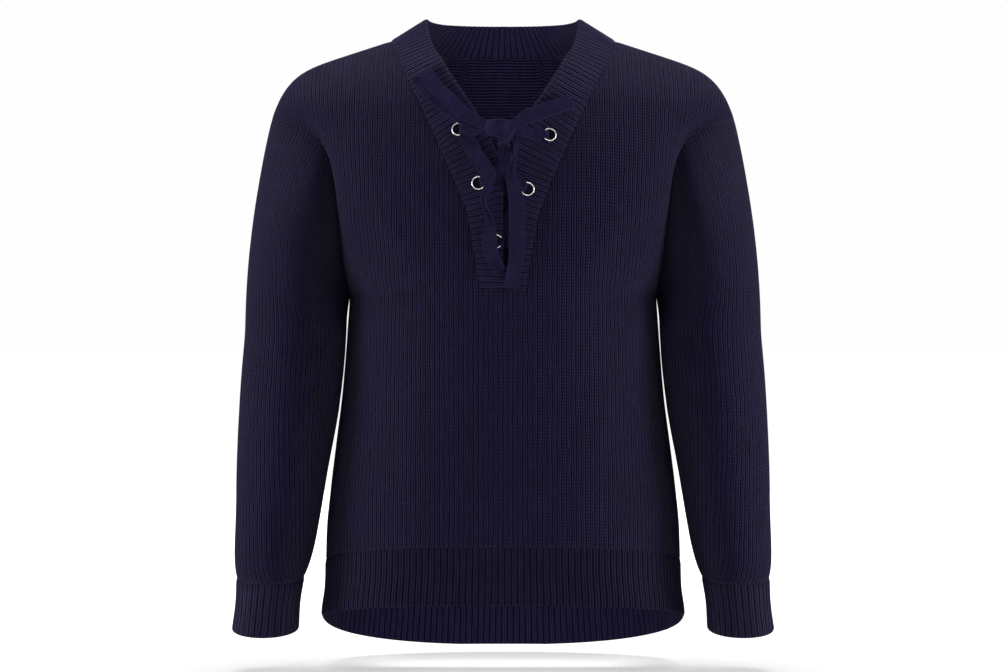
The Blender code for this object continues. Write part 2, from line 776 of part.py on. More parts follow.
# Rib cuffs
equal = np.linspace(0.0, 2 * math.pi, ring_size, endpoint=False)
cuff_rows = []
for ring in CUFF_RINGS:
    row = ring_points(ring, equal)[::-1].copy()
    cuff_rows.append(row)
cuff_rows[0][:, 2] -= 2 * SEAM
normals = [flat_normals(row, True) for row in cuff_rows]
cuff_parts = [1] * ring_size
outer_rows, inner_rows = rib_rows(cuff_rows, normals, cuff_parts, 4, True)
solid, faces = ribbed(outer_rows, inner_rows, 4, True)
make("cuff_left", solid, faces, RIB_NAVY, 0.9)
make("cuff_right", mirrored(solid), faces, RIB_NAVY, 0.9)

# Neckband: its seam follows the panels' edges, wall end to wall end
seam_pairs = []
front_outer, front_inner = inner_points["front"]
back_outer, back_inner = inner_points["back"]
for k in range(top):
    v = front_numbers[base + k][FRONT_NOTCH]
    seam_pairs.append((front_outer[v], front_inner[v], way_in["front"][v]))
v = front_numbers[base + top][FRONT_NOTCH]
w = back_numbers[base + top][BACK_NOTCH]
seam_pairs.append(
    (
        (front_outer[v] + back_outer[w]) / 2,
        (front_inner[v] + back_inner[w]) / 2,
        (way_in["front"][v] + way_in["back"][w]) / 2,
    )
)
for k in range(top - 1, BACK_NOTCH_ROW - 1, -1):
    v = back_numbers[base + k][BACK_NOTCH]
    seam_pairs.append((back_outer[v], back_inner[v], way_in["back"][v]))
for j in range(BACK_NOTCH - 1, -1, -1):
    v = back_numbers[base + BACK_NOTCH_ROW][j]
    seam_pairs.append((back_outer[v], back_inner[v], way_in["back"][v]))
half_outer = np.array([p[0] - 2.4 * SEAM * p[2] / max(np.linalg.norm(p[2]), 1e-9) for p in seam_pairs])
half_inner = np.array([p[1] - 2.4 * SEAM * p[2] / max(np.linalg.norm(p[2]), 1e-9) for p in seam_pairs])
seam_out = np.vstack([mirrored(half_outer), half_outer[-2::-1]])
seam_in = np.vstack([mirrored(half_inner), half_inner[-2::-1]])
free_right = np.array([(-f.x + f.aside, f.y, f.z) for f in FREE_EDGE]) * MM
free_left = np.array([(f.x + f.aside, f.y, f.z) for f in FREE_EDGE]) * MM
free = np.vstack([free_right, free_left[-2::-1]])
middle_row = (seam_out + free) / 2
lengths = np.linalg.norm(np.diff(middle_row, axis=0), axis=1)
band_parts = [max(1, int(round(n / RIB_PITCH / 2))) for n in lengths]
BAND_ROWS = 3
plain_rows = []
for r in range(BAND_ROWS):
    t = r / (BAND_ROWS - 1)
    plain_rows.append(seam_out * (1 - t) + free * t)
plain_rows = [split(row, band_parts) for row in plain_rows]
grid = np.array(plain_rows)
ahead = np.gradient(grid, axis=1)
aside = np.gradient(grid, axis=0)
band_normal = np.cross(ahead, aside)
band_normal = band_normal / np.linalg.norm(band_normal, axis=2)[:, :, None]
if band_normal[1, 0, 1] > 0:
    band_normal = -band_normal
seam_in_split = split(seam_in, band_parts)
outer_rows = []
inner_rows = []
for r in range(BAND_ROWS):
    fine = split(grid[r], [4] * (len(grid[r]) - 1))
    fine_normal = split(band_normal[r], [4] * (len(grid[r]) - 1))
    outer_rows.append(fine + fine_normal * rib_offsets(len(fine))[:, None])
    inner_rows.append(seam_in_split if r == 0 else grid[r] - WALL * band_normal[r])
solid, faces = ribbed(outer_rows, inner_rows, 4, False, slit=band_parts[0])
neckband = make("neckband", solid, faces, RIB_NAVY, 0.9)


def lookup_table():
    """Points of the band and the front with their normals, to lay trims on."""
    spots = []
    ways = []
    for r in np.linspace(0.0, 1.0, 9):
        row = grid[0] * (1 - r) + grid[-1] * r
        fine = split(row, [4] * (len(row) - 1))
        normal = split(band_normal[1], [4] * (len(row) - 1))
        keep = fine[:, 1] < -0.02
        spots.append(fine[keep])
        ways.append(normal[keep])
    keep = (front_points[:, 2] > -0.32) & (abs(front_points[:, 0]) < 0.15)
    spots.append(front_points[keep])
    ways.append(normal_at["front"][keep])
    return np.vstack(spots), np.vstack(ways)


FORM_SPOTS, FORM_WAYS = lookup_table()


def form_at(x, z):
    """The cloth's outer point and normal at a place in the front view."""
    far = (FORM_SPOTS[:, 0] - x) ** 2 + (FORM_SPOTS[:, 2] - z) ** 2
    near = np.argsort(far)[:14]
    weight = 1.0 / (far[near] + 4e-6) ** 1.5
    weight = weight / weight.sum()
    spots = FORM_SPOTS[near]
    plan = np.stack([np.ones(len(near)), spots[:, 0] - x, spots[:, 2] - z], axis=1)
    scaled = plan * weight[:, None] ** 0.5
    fit = np.linalg.lstsq(scaled, spots[:, 1] * weight**0.5, rcond=1e-3)[0]
    way = (FORM_WAYS[near] * weight[:, None]).sum(axis=0)
    return np.array([x, fit[0], z]), way / np.linalg.norm(way)


# Eyelets: a barrel through the band with a flange over each face
def cut(obj, spot, way):
    bpy.ops.mesh.primitive_cylinder_add(vertices=16, radius=EYELET_CUT, depth=0.020, location=spot)
    tool = bpy.context.object
    tool.rotation_mode = "QUATERNION"
    tool.rotation_quaternion = Vector((0, 0, 1)).rotation_difference(Vector(way))
    bpy.context.view_layer.update()
    modifier = obj.modifiers.new("hole", "BOOLEAN")
    modifier.object = tool
    modifier.operation = "DIFFERENCE"
    modifier.solver = "EXACT"
    bpy.context.view_layer.objects.active = obj
    bpy.ops.object.modifier_apply(modifier=modifier.name)
    bpy.data.objects.remove(tool)


EYELET_PROFILE = [
    (EYELET_HOLE, RIB_HEIGHT + 0.0003 + EYELET_FLANGE),
    (EYELET_OUTER, RIB_HEIGHT + 0.0003 + 0.6 * EYELET_FLANGE),
    (EYELET_OUTER, RIB_HEIGHT + 0.0003),
    (EYELET_BARREL, RIB_HEIGHT + 0.0003),
    (EYELET_BARREL, -WALL - 0.0004),
    (EYELET_OUTER, -WALL - 0.0004),
    (EYELET_OUTER, -WALL - 0.0010),
    (EYELET_HOLE, -WALL - 0.0010),
]
EYELET_SIDES = 14
for eyelet in EYELETS:
    spot, way = form_at(eyelet.x * MM, eyelet.z * MM)
    cut(neckband, spot, way)
    across = np.cross(way, (0.0, 0.0, 1.0))
    across = across / np.linalg.norm(across)
    up = np.cross(across, way)
    points = []
    for n in range(EYELET_SIDES):
        angle = 2 * math.pi * n / EYELET_SIDES
        for radius, height in EYELET_PROFILE:
            points.append(spot + radius * (math.cos(angle) * across + math.sin(angle) * up) + height * way)
    faces = ring_faces(EYELET_SIDES, len(EYELET_PROFILE))
    last = (EYELET_SIDES - 1) * len(EYELET_PROFILE)
    for j in range(len(EYELET_PROFILE)):
        n = (j + 1) % len(EYELET_PROFILE)
        faces.append([last + j, last + n, n, j])
    make(eyelet.name, points, faces, STEEL, 0.25, 1.0)


# Lace lengths, each a flat ribbon between its two edges
def ribbon(name, near, far):
    near = np.array(near)
    far = np.array(far)
    ahead = np.gradient((near + far) / 2, axis=0)
    face = np.cross(ahead, far - near)
    face = face / np.linalg.norm(face, axis=1)[:, None]
    points = []
    for a, b, n in zip(near, far, face):
        points += [a + n * RIBBON / 2, b + n * RIBBON / 2, b - n * RIBBON / 2, a - n * RIBBON / 2]
    last = 4 * (len(near) - 1)
    faces = [[3, 2, 1, 0], [last, last + 1, last + 2, last + 3]]
    # Both faces split along the same diagonal, so a twisted stretch keeps its thickness
    for a in range(0, last, 4):
        b, c, d = a + 1, a + 2, a + 3
        faces += [[a, b, b + 4], [a, b + 4, a + 4], [d, c + 4, c], [d, d + 4, c + 4]]
        faces += [[b, c, c + 4, b + 4], [d, a, a + 4, d + 4]]
    return make(name, points, faces, LACE_NAVY, 0.8)


def lace_point(x, z, out):
    """A point before the band: square to the band close to it, straight forward further off."""
    spot, way = form_at(x * MM, z * MM)
    if out < NEAR_BAND:
        return spot + out * MM * way
    return spot + np.array([0.0, -out * MM / abs(way[1]), 0.0])


EYELET_AT = {eyelet.name: (eyelet.x, eyelet.z) for eyelet in EYELETS}


def through(eyelet, toward, side, leaving):
    """Stations where a length leaves or reaches an eyelet, running to or from the next place."""
    x, z = EYELET_AT[eyelet]
    run = math.atan2(toward[1] - z, toward[0] - x)
    reach = math.hypot(toward[1] - z, toward[0] - x)
    stations = []
    for away, out, half in THROUGH_FRONT if side > 0 else THROUGH_BACK:
        if away < 0.6 * reach:
            at = (x + away * math.cos(run), z + away * math.sin(run))
            stations.append(Lay(at[0], at[1], out, math.degrees(run) + (0 if leaving else 180), half, 0))
    return stations if leaving else stations[::-1]


for length in LACE:
    stations = list(length.stations)
    first = (stations[0].x, stations[0].z) if stations else EYELET_AT[length.end]
    last = (stations[-1].x, stations[-1].z) if stations else EYELET_AT[length.start]
    if length.start:
        stations = through(length.start, first, length.start_side, True) + stations
    if length.end:
        stations = stations + through(length.end, last, length.end_side, False)
    near = []
    far = []
    for s in stations:
        left_x = -math.sin(math.radians(s.heading)) * s.half
        left_z = math.cos(math.radians(s.heading)) * s.half
        near.append(lace_point(s.x + left_x, s.z + left_z, s.out + s.roll / 2))
        far.append(lace_point(s.x - left_x, s.z - left_z, s.out - s.roll / 2))
    ribbon(length.name, near, far)
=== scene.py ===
"""Looks of the laced V-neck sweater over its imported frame: knit, ribs, lace, eyelets, studio. Metres."""

import math
from collections import namedtuple

import bpy
import numpy as np
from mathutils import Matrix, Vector


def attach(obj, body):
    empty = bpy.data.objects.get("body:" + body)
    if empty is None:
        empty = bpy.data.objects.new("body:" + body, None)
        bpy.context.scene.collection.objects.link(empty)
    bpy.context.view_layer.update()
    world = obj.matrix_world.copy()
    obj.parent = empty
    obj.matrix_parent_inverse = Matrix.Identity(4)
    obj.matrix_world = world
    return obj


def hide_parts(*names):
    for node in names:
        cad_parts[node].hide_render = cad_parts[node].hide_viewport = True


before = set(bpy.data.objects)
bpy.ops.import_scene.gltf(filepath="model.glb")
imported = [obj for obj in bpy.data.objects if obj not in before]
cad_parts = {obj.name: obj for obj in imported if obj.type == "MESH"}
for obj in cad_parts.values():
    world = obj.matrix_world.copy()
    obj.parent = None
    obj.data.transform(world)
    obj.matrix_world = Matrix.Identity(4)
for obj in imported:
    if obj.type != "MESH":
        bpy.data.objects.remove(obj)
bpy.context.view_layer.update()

# Sizes of the cloth and the knit
MM = 0.001
WALL = 0.0030
RIB_HEIGHT = 0.0007
RIB_PITCH = 0.0032
BAND_PITCH = 0.0031
RIB_COLUMNS = 6
WALE = 0.0049
COURSE = 0.0033
MESH_STEP = 0.0031
BODY_ROUNDNESS = 2.3
SIDE_SEAM_Y = 12.0
WELT = 0.0585
FRONT_NOTCH_X = 22.9
BACK_NOTCH_X = 45.0
BACK_NOTCH_ROW = 8
CUFF_RIBS = 68

# Seams and edges: how deep and how wide the cloth dips, and how a cut edge turns in
SEAM_DIP = 0.00045
SEAM_WIDE = 0.0022
ARM_DIP = 0.00012
ARM_WIDE = 0.0018
RIB_DIP = 0.0007
RIB_DIP_WIDE = 0.0020
BAND_DIP = 0.0010
BAND_DIP_WIDE = 0.0018
EDGE_TURN = 0.0012
EDGE_REACH = 0.0024
BAND_TURN = 0.0014
BAND_REACH = 0.0032
SEAM_ROLL = 0.0013
SEAM_DEPTH = 0.0017
# How much of a fold the inside follows, and the depth under which a sleeve's fold stays in front
INNER_SHARE = 0.8
FRONT_FOLD = 1.35
# The shoulder runs into the sleeve without a corner over its top, from one height to another, mm
SOFT_FROM_Z = -128.0
SOFT_RISE = 34.0
SOFT_POINTS = 11
SOFT_TIMES = 26

EYELET_OUTER = 0.0072
EYELET_HOLE = 0.0055
EYELET_CUT = 0.0062

LACE_WIDTH = 0.015
LACE_THICK = 0.0006
LACE_FLAT_HALF = 0.0072
SELVEDGE = 0.00012
KNOT_CREASE = 0.0012

# Rows of the two panels below the armpit: height at the side and at the centre of each panel
Low = namedtuple("Low", "side_z half_width front_z front_y back_z back_y")
LOW_ROWS = [
    Low(-539.5, 185.5, -515.7, -114, -580.5, 112),
    Low(-500, 184, -478, -114.5, -536, 111),
    Low(-458, 179.4, -439, -115.5, -489, 110),
    Low(-415, 173.9, -399, -117, -440.5, 110),
    Low(-372, 168.6, -360, -119, -392, 111.5),
    Low(-333, 165.3, -325, -121.5, -348, 114),
    Low(-296, 162.6, -291, -124.5, -304, 116.5),
]

# Rows above the armpit: a point of the neck seam, and one of the armhole
High = namedtuple("High", "neck_x neck_y neck_z arm_x arm_y arm_z")
FRONT_ROWS = [
    High(22.9, -126.5, -258.5, 160.6, 12, -262),
    High(26.2, -126.2, -236, 160.8, -14, -254),
    High(30.5, -125.5, -211, 163, -34, -236),
    High(35.5, -124.5, -184, 166, -47, -208),
    High(44, -121.5, -160, 169.5, -54, -176),
    High(54.5, -117, -135, 173, -56, -145),
    High(66.5, -108.5, -107, 179.5, -53, -117),
    High(78.5, -97.5, -81, 188, -47, -98),
    High(89.5, -85.5, -58, 200, -41, -88),
    High(99.5, -71, -39, 213, -33, -83),
    High(108.5, -51, -20, 226, -23, -79.5),
    High(115, -25, -3, 237, -10, -77),
    High(118, 10, 5, 242, 5, -76),
]
BACK_ROWS = [
    High(45, 112, -260, 160.6, 12, -262),
    High(45, 113, -232, 160.8, 36, -254),
    High(45, 114, -203, 163, 52, -236),
    High(45, 114.5, -173, 166, 62, -208),
    High(45, 114, -142, 169.5, 67, -176),
    High(45, 113, -111, 173, 68, -145),
    High(45, 110.5, -79, 179.5, 65, -117),
    High(45, 106, -43, 188, 58, -98),
    High(45, 97, -1.5, 200, 51, -88),
    High(75, 86, 0, 213, 42, -83),
    High(100, 60, 3, 226, 32, -79.5),
    High(113.5, 34, 5, 237, 19.5, -77),
    High(118, 10, 5, 242, 5, -76),
]

# Free edge of the neckband, a row for each point of its seam, from the foot of the V to the nape
Free = namedtuple("Free", "x y z aside")
FREE_EDGE = [
    Free(1.5, -127.6, -257.9, 2.7),
    Free(1.5, -127.4, -238, 2.7),
    Free(1.7, -126.8, -207, 2.7),
    Free(1.9, -125.6, -176, 2.7),
    Free(2, -122.8, -145.5, 2.4),
    Free(10, -117.3, -113.5, 1),
    Free(26.2, -107.5, -79.5, 0),
    Free(40.5, -99, -57.5, 0),
    Free(52.5, -88, -38.5, 0),
    Free(63, -74, -20.5, 0),
    Free(71.8, -54, -5.5, 0),
    Free(77.4, -26, 12.5, 0),
    Free(79.8, 8, 28.4, 0),
    Free(76.5, 30, 28.6, 0),
    Free(66.5, 47, 28, 0),
    Free(50, 61, 28.3, 0),
    Free(30, 69, 28.5, 0),
    Free(15, 71.5, 28.5, 0),
    Free(0, 72, 28.5, 0),
]
SLIT_FOOT = -239.0
SLIT_REACH = 0.0021
SLIT_EASE = 0.0009

# Rings of the sleeve below the cap, then of the cuff
Ring = namedtuple("Ring", "z x half_width y half_depth tilt")
SLEEVE_RINGS = [
    Ring(-300, 214.7, 52.4, -21, 57, 0),
    Ring(-341, 217.8, 52.7, -25, 56, 0),
    Ring(-391, 222.4, 50.9, -27.6, 54.5, 0),
    Ring(-440, 227.8, 47.2, -31.4, 51, 0.02),
    Ring(-490, 232.1, 43.4, -35.4, 47, 0.04),
    Ring(-526, 236, 40.4, -38.5, 44, 0.08),
    Ring(-543, 238.2, 37.6, -40.5, 41, 0.12),
    Ring(-551.5, 239.2, 34.6, -41.3, 37.5, 0.15),
]
CUFF_RINGS = [
    Ring(-551.5, 239.2, 34.6, -41.3, 37.5, 0.15),
    Ring(-577, 241.7, 32.9, -43.4, 35.5, 0.15),
    Ring(-605, 244.2, 33.9, -45, 36.5, 0.15),
]

# Rib welts: share of the way down, half width, depth of the front and the back
Welt = namedtuple("Welt", "drop half_width front_y back_y")
WELT_ROWS = [
    Welt(0, 185.5, -114, 112),
    Welt(0.5, 186.4, -113.6, 112),
    Welt(0.92, 189.6, -114.6, 113),
    Welt(1, 189.8, -114.6, 113),
]

# Soft folds: from one place to another in the front view, how wide and how deep, millimetres
Fold = namedtuple("Fold", "piece x z to_x to_z width depth")
FOLDS = [
    Fold("front", -150, -190, -112, -235, 16, 1.6),
    Fold("front", 148, -196, 106, -232, 15, 1.4),
    Fold("front", -128, -150, -70, -215, 20, 0.9),
    Fold("front", 130, -152, 78, -206, 22, 0.8),
    Fold("front", -140, -330, -126, -470, 22, 1.2),
    Fold("front", 138, -345, 128, -500, 24, 1.1),
    Fold("front", -40, -330, -48, -450, 26, 0.7),
    Fold("front", 52, -300, 60, -430, 24, 0.6),
    Fold("front", -12, -268, -20, -330, 14, 0.7),
    Fold("front", 30, -266, 44, -318, 14, 0.6),
    Fold("back", -150, -180, -96, -250, 18, 1.8),
    Fold("back", 150, -186, 100, -244, 18, 1.6),
    Fold("back", -60, -70, 60, -72, 14, 0.8),
    Fold("back", -30, -300, -42, -480, 28, 1),
    Fold("back", 70, -280, 84, -500, 26, 1.1),
    Fold("back", -132, -330, -122, -500, 22, 1.2),
    Fold("sleeve", 178, -300, 214, -330, 11, 1.4),
    Fold("sleeve", 180, -352, 222, -372, 12, 1.6),
    Fold("sleeve", 186, -410, 226, -424, 12, 1.3),
    Fold("sleeve", 268, -380, 236, -400, 11, 0.9),
    Fold("sleeve", 228, -470, 232, -545, 9, 0.9),
    Fold("sleeve", 214, -500, 220, -548, 8, 1),
    Fold("sleeve", 248, -505, 250, -548, 8, 0.9),
    Fold("sleeve", 196, -150, 206, -245, 14, 1.3),
]

Spot = namedtuple("Spot", "name x z")
EYELETS = [
    Spot("eyelet_right_1", -44.5, -97),
    Spot("eyelet_right_2", -24.4, -151.5),
    Spot("eyelet_right_3", -6.8, -209.8),
    Spot("eyelet_left_1", 46.5, -102.6),
    Spot("eyelet_left_2", 24.3, -157.6),
    Spot("eyelet_left_3", 12.6, -211.3),
]
EYELET_AT = {spot.name: (spot.x, spot.z) for spot in EYELETS}

# The lace. A station gives its middle in the front view, how far it lies in front of the band,
# the way it runs in degrees, half the width it shows, and how far its left edge stands forward
Lay = namedtuple("Lay", "x z out heading half roll", defaults=(0,))
Length = namedtuple("Length", "start start_side stations end end_side")
NEAR_BAND = 3.3
THROUGH_FRONT = [(0.6, -1.0, 3.6), (3.5, 2.9, 3.4), (8.6, 3.2, 6.2)]
THROUGH_BACK = [(0.6, -1.8, 3.6), (3.5, -4.9, 2.9), (8.6, -5.2, 4.4)]
BAR = Length("eyelet_right_3", 1, [], "eyelet_left_3", 1)
LOW_RIGHT = Length("eyelet_right_3", -1, [Lay(8.7, -183.7, -5, 59, 5.4)], "eyelet_left_2", -1)
LOW_LEFT = Length(
    "eyelet_left_3",
    -1,
    [Lay(5.6, -200.2, -7.6, 122, 4.6), Lay(-5.9, -181.4, -8, 122, 5.6)],
    "eyelet_right_2",
    -1,
)
CROSS_LEFT = Length(
    "eyelet_left_2",
    1,
    [
        Lay(10, -147, 3.4, 140, 6.2),
        Lay(2, -137.5, 3.4, 122, 5.6),
        Lay(-3, -125, 3.2, 105, 4.4),
        Lay(-1, -116.5, 2.6, 130, 3.6),
        Lay(-3, -109.5, -1, 150, 3.8),
        Lay(-5.6, -107.4, -4.8, 165, 4),
        Lay(-11.5, -105.6, -6.4, 165, 4.5),
        Lay(-25, -102.5, -6.8, 165, 5.5),
    ],
    "eyelet_right_1",
    -1,
)
CROSS_RIGHT = Length(
    "eyelet_right_2",
    1,
    [
        Lay(-9, -143, 4.8, 42, 6.4),
        Lay(-0.5, -134, 4.8, 58, 5.6),
        Lay(4.5, -124, 4.6, 75, 4.4),
        Lay(4, -116, 4, 50, 3.6),
        Lay(5.4, -109.5, -1, 30, 3.8),
        Lay(8, -107.2, -4.8, 15, 4),
        Lay(14, -105.4, -6.4, 12, 4.5),
        Lay(28, -103.4, -6.8, 6, 5.5),
    ],
    "eyelet_left_1",
    -1,
)
LEAD_RIGHT = Length(
    "eyelet_right_1", 1, [Lay(-30, -97.4, 4.2, 0, 5.8), Lay(-18.4, -98.2, 7.4, -4, 4.2)], None, 0
)
LEAD_LEFT = Length(
    "eyelet_left_1", 1, [Lay(30, -101.4, 4.4, 176, 6), Lay(13.8, -100.2, 8.7, 178, 4.4)], None, 0
)
# Each bow goes out by its back layer, folds at the tip and comes back in front
BOW_RIGHT = [
    Lay(-3, -97.5, 6.4, 165, 3.6),
    Lay(-23, -94.2, 7.5, 150, 4.9),
    Lay(-42, -84.5, 5.6, 147, 7, 1),
    Lay(-61.8, -69.7, 4.2, 141, 7),
    Lay(-76.9, -55.2, 3.2, 135, 7.2),
    Lay(-84, -44, 2.3, 126, 7.2),
    Lay(-86.4, -38.6, 3.4, 128, 7.2),
    Lay(-82.4, -35.8, 5, 130, 7.3),
    Lay(-70.2, -50.5, 6.4, 133, 7.4),
    Lay(-53, -67.6, 7.6, 137, 7.2, -1),
    Lay(-34.7, -84.1, 8.8, 143, 6.2, -1),
    Lay(-19.1, -92.5, 8.9, 148, 4.8),
    Lay(-3, -98, 9.2, 155, 3.2),
]
BOW_LEFT = [
    Lay(-3, -96.5, 5, 10, 3.6),
    Lay(15, -92.4, 8.3, 26, 3.6),
    Lay(22, -87.5, 6.8, 22, 5.8),
    Lay(38.5, -80, 5.8, 19, 6.8),
    Lay(53.5, -74.4, 4.4, 19, 7),
    Lay(65, -69.6, 2.4, 22, 7),
    Lay(69.4, -67.6, 3.4, 22, 7),
    Lay(65, -68.6, 4.7, 22, 7.3),
    Lay(53.5, -73.4, 6.4, 19, 7.5),
    Lay(38.5, -79, 8, 19, 7.5),
    Lay(21, -86, 9, 22, 6.9),
    Lay(12.6, -91.8, 10, 26, 5.2),
    Lay(-3, -97, 10.2, 26, 3.4),
]
TAIL_RIGHT = [
    Lay(-38.3, -101.5, 2, 123, 5.7),
    Lay(-33.6, -109.2, 2.6, 123, 7.3),
    Lay(-27.5, -122, 4.6, 123, 7.5),
    Lay(-19.5, -134.5, 6.4, 122, 7.5),
    Lay(-12.8, -146, 6.8, 116, 6.7),
    Lay(-15.5, -157, 6.6, 76, 4.2),
    Lay(-19.4, -167, 6.2, 92, 2.8),
    Lay(-14.8, -182, 5.8, 110, 2.8),
    Lay(-12.6, -194, 5.6, 100, 4.8),
    Lay(-13.2, -207, 5.4, 92, 7.1),
    Lay(-12, -221, 4.4, 102, 7.3),
    Lay(-6.8, -232, 3, 117, 6.7),
    Lay(-1.6, -240, 1.9, 123, 5.4),
]
TAIL_LEFT = [
    Lay(11.5, -105.3, 9, 96, 2.8, -1),
    Lay(12.4, -109.6, 7.8, 96, 2.5, -4),
    Lay(13, -115, 7.6, 90, 2.1, -6),
    Lay(11.5, -128.5, 8.4, 78, 2.7, -4),
    Lay(8.4, -144, 7.8, 82, 5, -2),
    Lay(11, -157, 7.2, 104, 6.8, -1),
    Lay(13.5, -170, 6.8, 94, 7.4),
    Lay(13.8, -193, 6.4, 90, 7.5),
    Lay(14, -218, 6, 88, 7.5),
    Lay(11, -240, 4.2, 80, 7.5),
    Lay(7.2, -256.5, 2.1, 76, 7.4),
]
KNOT = [
    Lay(-17.6, -95, 7.8, -6, 4.8),
    Lay(-14.8, -95.2, 11.2, -8, 7),
    Lay(-10, -95.8, 12.6, -10, 8.6),
    Lay(-4, -96.5, 13.2, -12, 9.4),
    Lay(1, -97.8, 13.2, -16, 9.9),
    Lay(5, -99.2, 12.6, -20, 10),
    Lay(9.4, -101, 11.2, -26, 8.6),
    Lay(10.8, -101.6, 9.2, -28, 6.6),
]


# Surfaces
def spline(knots, values, wanted):
    """A smooth curve through values at knots, read at wanted places."""
    knots = np.asarray(knots, float)
    values = np.asarray(values, float)
    gap = np.diff(knots)
    flat = (len(gap),) + (1,) * (values.ndim - 1)
    rate = np.diff(values, axis=0) / gap.reshape(flat)
    slope = np.empty_like(values)
    slope[0] = rate[0]
    slope[-1] = rate[-1]
    weight = (gap[:-1] / (gap[:-1] + gap[1:])).reshape((len(gap) - 1,) + (1,) * (values.ndim - 1))
    slope[1:-1] = rate[:-1] * (1 - weight) + rate[1:] * weight
    at = np.clip(np.searchsorted(knots, wanted, side="right") - 1, 0, len(gap) - 1)
    shape = (len(wanted),) + (1,) * (values.ndim - 1)
    h = gap[at].reshape(shape)
    t = ((wanted - knots[at]) / gap[at]).reshape(shape)
    out = values[at] * (2 * t**3 - 3 * t**2 + 1) + values[at + 1] * (3 * t**2 - 2 * t**3)
    return out + h * slope[at] * (t**3 - 2 * t**2 + t) + h * slope[at + 1] * (t**3 - t**2)


def lengths_along(points):
    return np.concatenate([[0.0], np.cumsum(np.linalg.norm(np.diff(points, axis=0), axis=1))])


def at_lengths(points, wanted):
    """The places on a line at wanted lengths along it."""
    along = lengths_along(points)
    return np.stack([np.interp(wanted, along, points[:, k]) for k in range(3)], axis=1)


def arc(points, count):
    """count points an equal way apart along a line."""
    return at_lengths(points, np.linspace(0.0, lengths_along(points)[-1], count))


def bell(away, wide):
    """1 in the middle of a groove, and falling to 0 beside it."""
    return np.exp(-((away / wide) ** 2))


def unit(ways):
    return ways / np.linalg.norm(ways, axis=-1, keepdims=True)


def to_side(points, side):
    """Points of the left side as they are for 1, and mirrored to the right for -1."""
    return points * np.array([side, 1.0, 1.0])


def subdivided(knots, step):
    """Places between the knots about step apart, every knot among them."""
    out = [knots[:1]]
    for a, b in zip(knots[:-1], knots[1:]):
        count = max(1, int(round((b - a) / step)))
        out.append(a + (b - a) * np.arange(1, count + 1) / count)
    return np.concatenate(out)


def half_row(neck, arm, inner_count, outer_count, low):
    """Half a row of a panel from its centre to its side or armhole."""
    neck = np.array(neck) * MM
    arm = np.array(arm) * MM
    power = BODY_ROUNDNESS
    share = min(abs(neck[0] / arm[0]), 0.98)
    centre_y = arm[1] + (neck[1] - arm[1]) / (1.0 - share**power) ** (1.0 / power)
    turn = np.linspace(0.0, math.pi / 2, 900)
    x = arm[0] * np.sin(turn) ** (2.0 / power)
    y = arm[1] + (centre_y - arm[1]) * np.clip(np.cos(turn), 0.0, 1.0) ** (2.0 / power)
    across = np.clip((x - neck[0]) / (arm[0] - neck[0]), 0.0, 1.0)
    turned = np.clip(1.0 - (y - arm[1]) / (neck[1] - arm[1] + 1e-9), 0.0, 1.0)
    sag = turned if low else 0.5 * across + 0.5 * across**8
    row = np.stack([x, y, neck[2] + (arm[2] - neck[2]) * sag], axis=1)
    outer = arc(np.vstack([neck, row[x > neck[0]], arm]), outer_count + 1)
    inner = np.zeros((inner_count, 3))
    inner[:, 0] = np.linspace(0.0, neck[0], inner_count + 1)[:-1]
    inner[:, 1] = arm[1] + (centre_y - arm[1]) * (1.0 - (inner[:, 0] / arm[0]) ** power) ** (1.0 / power)
    inner[:, 2] = neck[2]
    return np.vstack([inner, outer])


def panel(front):
    """The smooth grid of the front or back, its middle column, and the rows where it narrows."""
    rows = FRONT_ROWS if front else BACK_ROWS
    notch_x = FRONT_NOTCH_X if front else BACK_NOTCH_X
    inner_count = 9 if front else 17
    outer_count = 84 if front else 76
    coarse = []
    for low in LOW_ROWS:
        depth = low.front_y if front else low.back_y
        z = low.front_z if front else low.back_z
        fall = (1.0 - (notch_x / low.half_width) ** BODY_ROUNDNESS) ** (1.0 / BODY_ROUNDNESS)
        neck = (notch_x, SIDE_SEAM_Y + (depth - SIDE_SEAM_Y) * fall, z)
        arm = (low.half_width, SIDE_SEAM_Y, low.side_z)
        coarse.append(half_row(neck, arm, inner_count, outer_count, True))
    for high in rows:
        coarse.append(half_row(high[:3], high[3:], inner_count, outer_count, False))
    coarse = np.array(coarse)
    apart = np.linalg.norm(np.diff(coarse[:, inner_count:], axis=0), axis=2).mean(axis=1)
    knots = np.concatenate([[0.0], np.cumsum(apart)])
    places = subdivided(knots, MESH_STEP)
    half = spline(knots, coarse, places)
    base = int(np.argmin(abs(places - knots[len(LOW_ROWS)])))
    notch = int(np.argmin(abs(places - knots[len(LOW_ROWS) + (0 if front else BACK_NOTCH_ROW)])))
    grid = np.concatenate([to_side(half[:, :0:-1], -1.0), half], axis=1)
    return grid, half.shape[1] - 1, inner_count, base, notch


def steps_across(grid, ring):
    """The way from column to column at each point. The ends of a ring meet."""
    if not ring:
        return np.gradient(grid, axis=1)
    wide = np.concatenate([grid[:, -2:-1], grid, grid[:, 1:2]], axis=1)
    return (wide[:, 2:] - wide[:, :-2]) / 2


def surface_normals(grid, ring=False):
    normal = np.cross(steps_across(grid, ring), np.gradient(grid, axis=0))
    return normal / np.maximum(np.linalg.norm(normal, axis=2), 1e-12)[:, :, None]


